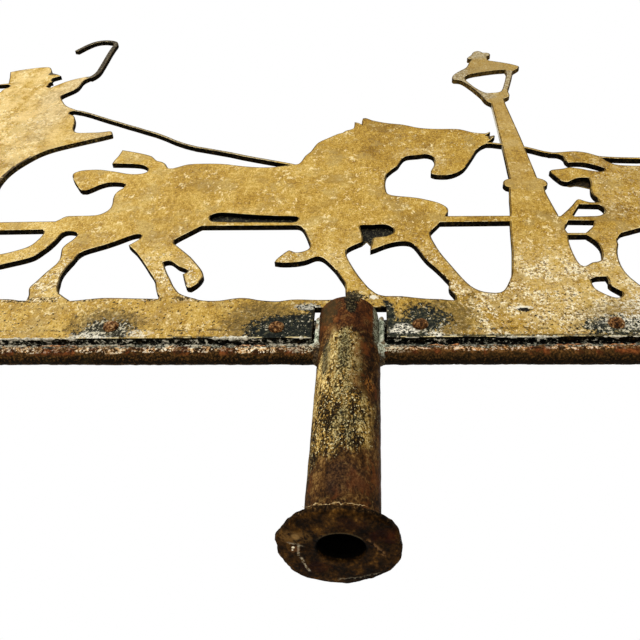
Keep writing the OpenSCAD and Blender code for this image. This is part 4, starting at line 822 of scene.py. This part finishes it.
def tube():
    nu = 132
    z0, z1 = -111.5, 30.5
    prof = [(BORE_R, z1 - .2)]
    prof = [(BORE_R, z0 + 1 + k * 6.5) for k in range(21, -1, -1)]
    prof = [(BORE_R, z1 - .5)] + prof + [(BORE_R + .4, z0 + .1), (TUBE_R - .6, z0 + .05), (TUBE_R - .1, z0 + .5)]
    n = 150
    prof += [(TUBE_R, z0 + 1 + (z1 - z0 - 2.0) * k / n) for k in range(n + 1)]
    prof += [(TUBE_R - .12, z1 - .55), (TUBE_R - .45, z1 - .2), (TUBE_R - .9, z1 - .02), (TUBE_R - 2, z1), (BORE_R + .4, z1 - .05)]

    def at(i, j):
        a = 2 * math.pi * i / nu
        r, z = prof[j]
        c, s = math.cos(a), math.sin(a)
        if r > BORE_R + .5:
            x, y = r * c, r * s
            r += .16 * fb(x, y, z, 16, 2, 3) + .10 * fb(x, y, z * .7, 3.0, 3, 7)
            r -= max(0.0, fb(x, y, z, 2.2, 2, 11) - .3) * .35
        t = max(0.0, min(1.0, (z + 4) / 30))
        return r * c - .9 * t * t * (3 - 2 * t), r * s, z
    v, f = grid(nu, len(prof), at, cap=(False, False))
    m = len(prof)
    f += [((m - 1) * nu + i, (m - 1) * nu + (i + 1) % nu, (i + 1) % nu, i) for i in range(nu)]
    return piece("rusty_tube", v, f, TUBE, "vane", "pivot_tube")


OUTLINE = [(-27.5, -6), (-27.5, 5), (-25, 15.5), (-18, 25), (-9, 29), (2, 30), (9, 27), (15, 23.5), (21.5, 17.5), (25, 10.5),
           (25.5, 0), (24.5, -9), (21.5, -16), (16.5, -21), (9, -25), (0, -26), (-9, -25.5), (-16.5, -21.5), (-22.5, -15)]


def reach(a):
    """Distance from the axis to the collar's outline in direction a."""
    dx, dy = math.cos(a), math.sin(a)
    best = 0
    n = len(OUTLINE)
    for k in range(n):
        (x0, y0), (x1, y1) = OUTLINE[k], OUTLINE[(k + 1) % n]
        ex, ey = x1 - x0, y1 - y0
        den = dx * ey - dy * ex
        if abs(den) < 1e-9:
            continue
        t = (x0 * ey - y0 * ex) / den
        u = (x0 * dy - y0 * dx) / den
        if t > 0 and -1e-6 <= u <= 1 + 1e-6:
            best = max(best, t)
    return best


def collar():
    nu, z0, z1, hole = 200, -116.0, -111.5, 10.4
    wall = [(0, z1 - .3), (0, z1 - 1.2), (0, z0 + 2.2), (0, z0 + 1.2), (0, z0 + .5)]
    under = [(.02 + .90 * k / 16, z0 + .08 + (.5 if k > 14 else 0) * .3) for k in range(17)]
    rim = [(.95, z0 + .25), (.975, z0 + .6), (.992, z0 + 1.1), (1, z0 + 1.7), (1, z0 + 2.3), (1, z0 + 2.9),
           (.992, z0 + 3.5), (.975, z0 + 4.0), (.95, z0 + 4.3)]
    over = [(.90 - .86 * k / 12, z1 - .05) for k in range(13)]
    prof = wall + under + rim + over
    lim = [reach(2 * math.pi * i / nu) for i in range(nu)]
    lim = [sum(lim[(i + k) % nu] for k in (-2, -1, 0, 1, 2)) / 5 for i in range(nu)]

    def at(i, j):
        a = 2 * math.pi * i / nu
        t, z = prof[j]
        c, s = math.cos(a), math.sin(a)
        r = hole + .1 + (lim[i] - hole - .1) * t
        x, y = r * c, r * s
        if t > .05:
            rough = .5 * fb(x, y, z, 9, 2, 3) + .30 * fb(x, y, z, 2.6, 3, 7)
            if t > .93:
                r += rough * (1.5 if x < 0 and y > -5 else 1.0) - .15
                z += .25 * fb(x, y, 0, 4, 2, 19)
            else:
                z += .45 * rough * min(1, (t - .05) * 6)
        else:
            r += .12 * max(0.0, fb(x, y, z, 2, 2, 5))
        return r * c, r * s, z
    v, f = grid(nu, len(prof), at, cap=(False, False))
    m = len(prof)
    f += [((m - 1) * nu + i, (m - 1) * nu + (i + 1) % nu, (i + 1) % nu, i) for i in range(nu)]
    return piece("forged_collar", v, f, COLLAR, "vane", "foot_collar")


def burr():
    """The ragged pale line along the collar's front upper edge."""
    nu, nv = 8, 240

    def at(i, j):
        a = math.radians(-124 + 60 * j / (nv - 1))
        b = 2 * math.pi * i / nu
        r = reach(a) - .35 + .8 * fb(j * .18, 2, 0, 3.1, 2, 4)
        x, y = r * math.cos(a), r * math.sin(a)
        w = .42 * max(.05, .55 + 1.1 * fb(j * .3, 0, 0, 4.0, 3, 9)) * min(1, .1 + min(j, nv - 1 - j) / 30)
        out = w * math.cos(b)
        return x + out * math.cos(a), y + out * math.sin(a), -111.45 + w * math.sin(b) + .75 * fb(j * .2, 5, 0, 3.3, 3, 2)
    v, f = grid(nu, nv, at)
    return piece("edge_burr", v, f, TAN, "vane")


def collar_bead():
    nu, nw = 150, 12
    z0 = -111.5

    def at(i, j):
        a = 2 * math.pi * i / nu
        b = 2 * math.pi * j / nw
        lump = 1 + .22 * math.sin(a * 23 + 2 * fb(math.cos(a) * 9, math.sin(a) * 9, 0, 3, 2, 3)) + .35 * fb(math.cos(a) * 17, math.sin(a) * 17, b, 3.5, 2, 5)
        r = TUBE_R + .9 + 1.9 * lump * math.cos(b)
        z = z0 + .8 + 1.9 * lump * math.sin(b)
        return r * math.cos(a), r * math.sin(a), z
    v, f = grid(nu, nw, at, cap=(False, False))
    f += [((nw - 1) * nu + i, (nw - 1) * nu + (i + 1) % nu, (i + 1) % nu, i) for i in range(nu)]
    return piece("collar_bead", v, f, CWELD, "vane", "collar_weld")


def blob(name, balls, voxel, bumps, mat, node=None, body="vane", grain=1.5, seed=0.0, clear=None):
    """Balls (x, y, z, r) in mm fused into one lumpy mesh."""
    bm = bmesh.new()
    for x, y, z, r in balls:
        bmesh.ops.create_icosphere(bm, subdivisions=2, radius=r, matrix=Matrix.Translation((x, y, z)))
    me = bpy.data.meshes.new(name)
    bm.to_mesh(me)
    bm.free()
    tmp = bpy.data.objects.new(name + "_tmp", me)
    bpy.context.scene.collection.objects.link(tmp)
    mod = tmp.modifiers.new("fuse", "REMESH")
    mod.mode, mod.voxel_size, mod.adaptivity = "VOXEL", voxel, 0
    sm = tmp.modifiers.new("smooth", "SMOOTH")
    sm.factor, sm.iterations = .5, 2
    bpy.context.view_layer.update()
    done = bpy.data.meshes.new_from_object(tmp.evaluated_get(bpy.context.evaluated_depsgraph_get()))
    bpy.data.objects.remove(tmp)
    bpy.data.meshes.remove(me)
    nrm = [v.normal.copy() for v in done.vertices]
    for v, n in zip(done.vertices, nrm):
        x, y, z = v.co
        d = bumps * (fb(x, y, z, grain * 2.2, 2, seed) * .6 + fb(x, y, z, grain, 2, seed + 3) * .6)
        p = v.co + n * d
        if clear:
            p = Vector(clear(*p))
        v.co = (p[0] * MM, p[1] * MM, p[2] * MM + ROD_Z)
    done.name = name
    done.materials.clear()
    done.materials.append(mat)
    done.polygons.foreach_set("material_index", [0] * len(done.polygons))
    done.polygons.foreach_set("use_smooth", [True] * len(done.polygons))
    o = bpy.data.objects.new(name, done)
    bpy.context.scene.collection.objects.link(o)
    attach(o, body)
    if node:
        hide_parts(node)
    return o


def weld(side):
    """Pale weld up the tube's side, running out over the rod."""
    s = side
    balls = []
    for k in range(16):
        z = 25 - k * 1.55
        w = 1.35 + .4 * fb(k * 3.1, s * 4, 2, 2.2, 2, 5)
        balls.append((s * (TUBE_R + .8), -3.3, z, w + .25))
        balls.append((s * (TUBE_R + .5), -1.0, z, w + .4))
        balls.append((s * (TUBE_R + .5), 2.6, z, w + .3))
    for k in range(26):
        a = -math.pi * .95 + 1.9 * math.pi * k / 25
        for q in range(4):
            x = s * (TUBE_R - .8 + q * 1.5)
            r = 5.0 + (3 - q) * .28 + .15 * fb(k * 2.0, q * 3.0, s, 2, 2, 9)
            top = max(0, math.sin(a))
            w = 1.25 - q * .30 + top * .2
            balls.append((x, r * math.cos(a) * .96, r * math.sin(a) * .96, max(.45, w)))
    for k in range(7):
        balls.append((s * (TUBE_R + .9 + k * .9), -2.6 + .2 * k, 5.9 - k * .22, 1.5 - k * .15))
    return blob("weld_left" if s < 0 else "weld_right", balls, .40, .38, WELD,
                "rod_weld_left" if s < 0 else "rod_weld_right", grain=1.2, seed=7 + s)


def rivet_set():
    verts, faces = [], []
    nu = 40
    for n, (c, up) in enumerate(RIVETS.items()):
        seed = 3.7 * n
        cup = .35 if c == -41 else .12 * (n % 3)
        prof = [(0.02, 3.2 + 2.6), (1.1, 3.2 + 2.52), (2.2, 3.2 + 2.2), (3.2, 3.2 + 1.6), (4.0, 3.2 + .85), (4.45, 3.2 + .2), (4.3, 3.2 - .05),
                (2.4, 3.15), (2.4, 0), (2.4, -4.95), (4.35, -5.0 + .02)]
        prof += [(4.5, -5.25), (4.35, -5.7), (4.0, -6.2), (3.4, -6.7), (2.7, -7.1), (2.0, -7.35), (1.3, -7.5 + cup), (.6, -7.55 + 2 * cup), (.02, -7.58 + 2.2 * cup)]

        def at(i, j):
            a = 2 * math.pi * i / nu
            r, y = prof[j]
            x0, z0 = r * math.cos(a), r * math.sin(a)
            k = 1 + (.10 * fb(x0 + n * 9, y, z0, 3.5, 2, seed) if r > 2.5 else 0)
            dy = (.22 * fb(x0, y + n * 5, z0, 1.4, 3, seed + 2)) if abs(y + .9) > 4.2 else 0
            if y < -5.1:
                dy -= .15 * math.cos(a - n) * r / 4.5
            return c + x0 * k, y + dy, up + z0 * k
        v, f = grid(nu, len(prof), at, base=len(verts))
        verts += v
        faces += f
    return piece("rivet_set", verts, faces, RIVET, "vane", "rivets")


def washer_set():
    verts, faces = [], []
    nu = 44
    for n, (c, up) in enumerate(RIVETS.items()):
        prof = [(2.45, 2.05), (5.2, 2.02), (5.45, 2.2), (5.5, 2.6), (5.45, 3.0), (5.2, 3.18), (2.45, 3.2)]

        def at(i, j):
            a = 2 * math.pi * i / nu
            r, y = prof[j]
            x0, z0 = r * math.cos(a), r * math.sin(a)
            k = 1 + (.02 * fb(x0 + n * 9, y, z0, 2.5, 2, 3) if r > 3 else 0)
            return c + x0 * k, y + (.05 * fb(x0, y, z0 + n * 7, 1.6, 2, 5) if y > 2.9 else 0), up + z0 * k
        b = len(verts)
        v, f = grid(nu, len(prof), at, cap=(False, False), base=b)
        m = len(prof)
        f += [(b + (m - 1) * nu + i, b + (m - 1) * nu + (i + 1) % nu, b + (i + 1) % nu, b + i) for i in range(nu)]
        verts += v
        faces += f
    return piece("washer_set", verts, faces, WASHER, "vane", "rivet_washers")


def ridge(name, x0, x1, step, y, z, size, mat, seed, gaps=0.0, flat=1.0, scale=5.0):
    """A ragged bead of crust along X: thickness follows noise and drops to nothing in places."""
    nu, nv = 12, int((x1 - x0) / step) + 1

    def at(i, j):
        a = 2 * math.pi * i / nu
        x = x0 + (x1 - x0) * j / (nv - 1)
        w = size * max(0.04, .62 + .9 * fb(x, 0, 0, scale, 3, seed) - gaps * max(0.0, .2 + fb(x, 3, 0, scale * 6, 2, seed + 5)) * 2)
        end = min(x - x0, x1 - x)
        w *= min(1.0, .1 + end / 2)
        q = 1 + .45 * fb(x, math.cos(a) * 2, math.sin(a) * 2, 1.1, 2, seed + 2)
        return x, y + w * q * math.cos(a), z + w * q * math.sin(a) * flat
    v, f = grid(nu, nv, at)
    return piece(name, v, f, mat, "vane")


plate()
rod("rod_left", "cross_rod_left", -585, -14.5, 3.0)
rod("rod_right", "cross_rod_right", 14.5, 440, 8.0)
lumpy_box("strip_left", "backing_strip_left", (-585, BACK + .02, 4.4), (-15.6, 1.98, 28), 1.6, STRIP, 3)
lumpy_box("strip_right", "backing_strip_right", (15.6, BACK + .02, 4.4), (440, 1.98, 28), 1.6, STRIP, 8)
tube()
collar()
burr()
collar_bead()
weld(-1)
weld(1)
rivet_set()
washer_set()
# caked rust where the strips stand on the rods, front and back
ridge("crust_front_left", -583, -24, .7, -2.0, 4.9, 1.15, PEACH, 3, .5, .8)
ridge("crust_front_right", 23, 438, .7, -2.0, 4.9, 1.15, PEACH, 7, .5, .8)
ridge("crust_back_left", -583, -24, .9, 2.9, 4.3, .9, ROD, 11, .4, .8)
ridge("crust_back_right", 23, 438, .9, 2.9, 4.3, .9, ROD, 13, .4, .8)
# white primer left along the plate's lower edge
for k, (a, b, w) in enumerate(((-212, -153, 1.15), (-77, -49, 1.7), (-31, -21.5, 1.5), (22, 37, 1.6), (80, 112, 1.2),
                               (125, 160, 1.0), (-300, -262, .5), (-420, -380, .45), (205, 240, .5), (300, 345, .4))):
    ridge("primer_%02d" % k, a, b, .5, -4.75, 8.7, w, LIME, 21 + k, .15 if k == 0 else .8, .75, 3.5)

# ------------------------------------------------------------------ floor

fl = bpy.data.meshes.new("floor")
fl.from_pydata([(-4, -4, -.34), (4, -4, -.34), (4, 4, -.34), (-4, 4, -.34)], [], [(0, 1, 2, 3)])
floor = bpy.data.objects.new("floor", fl)
bpy.context.scene.collection.objects.link(floor)
fm = bpy.data.materials.new("floor_paint")
fm.use_nodes = True
fb_ = fm.node_tree.nodes["Principled BSDF"]
fb_.inputs["Base Color"].default_value = (.80, .80, .79, 1)
fb_.inputs["Roughness"].default_value = .9
fl.materials.append(fm)
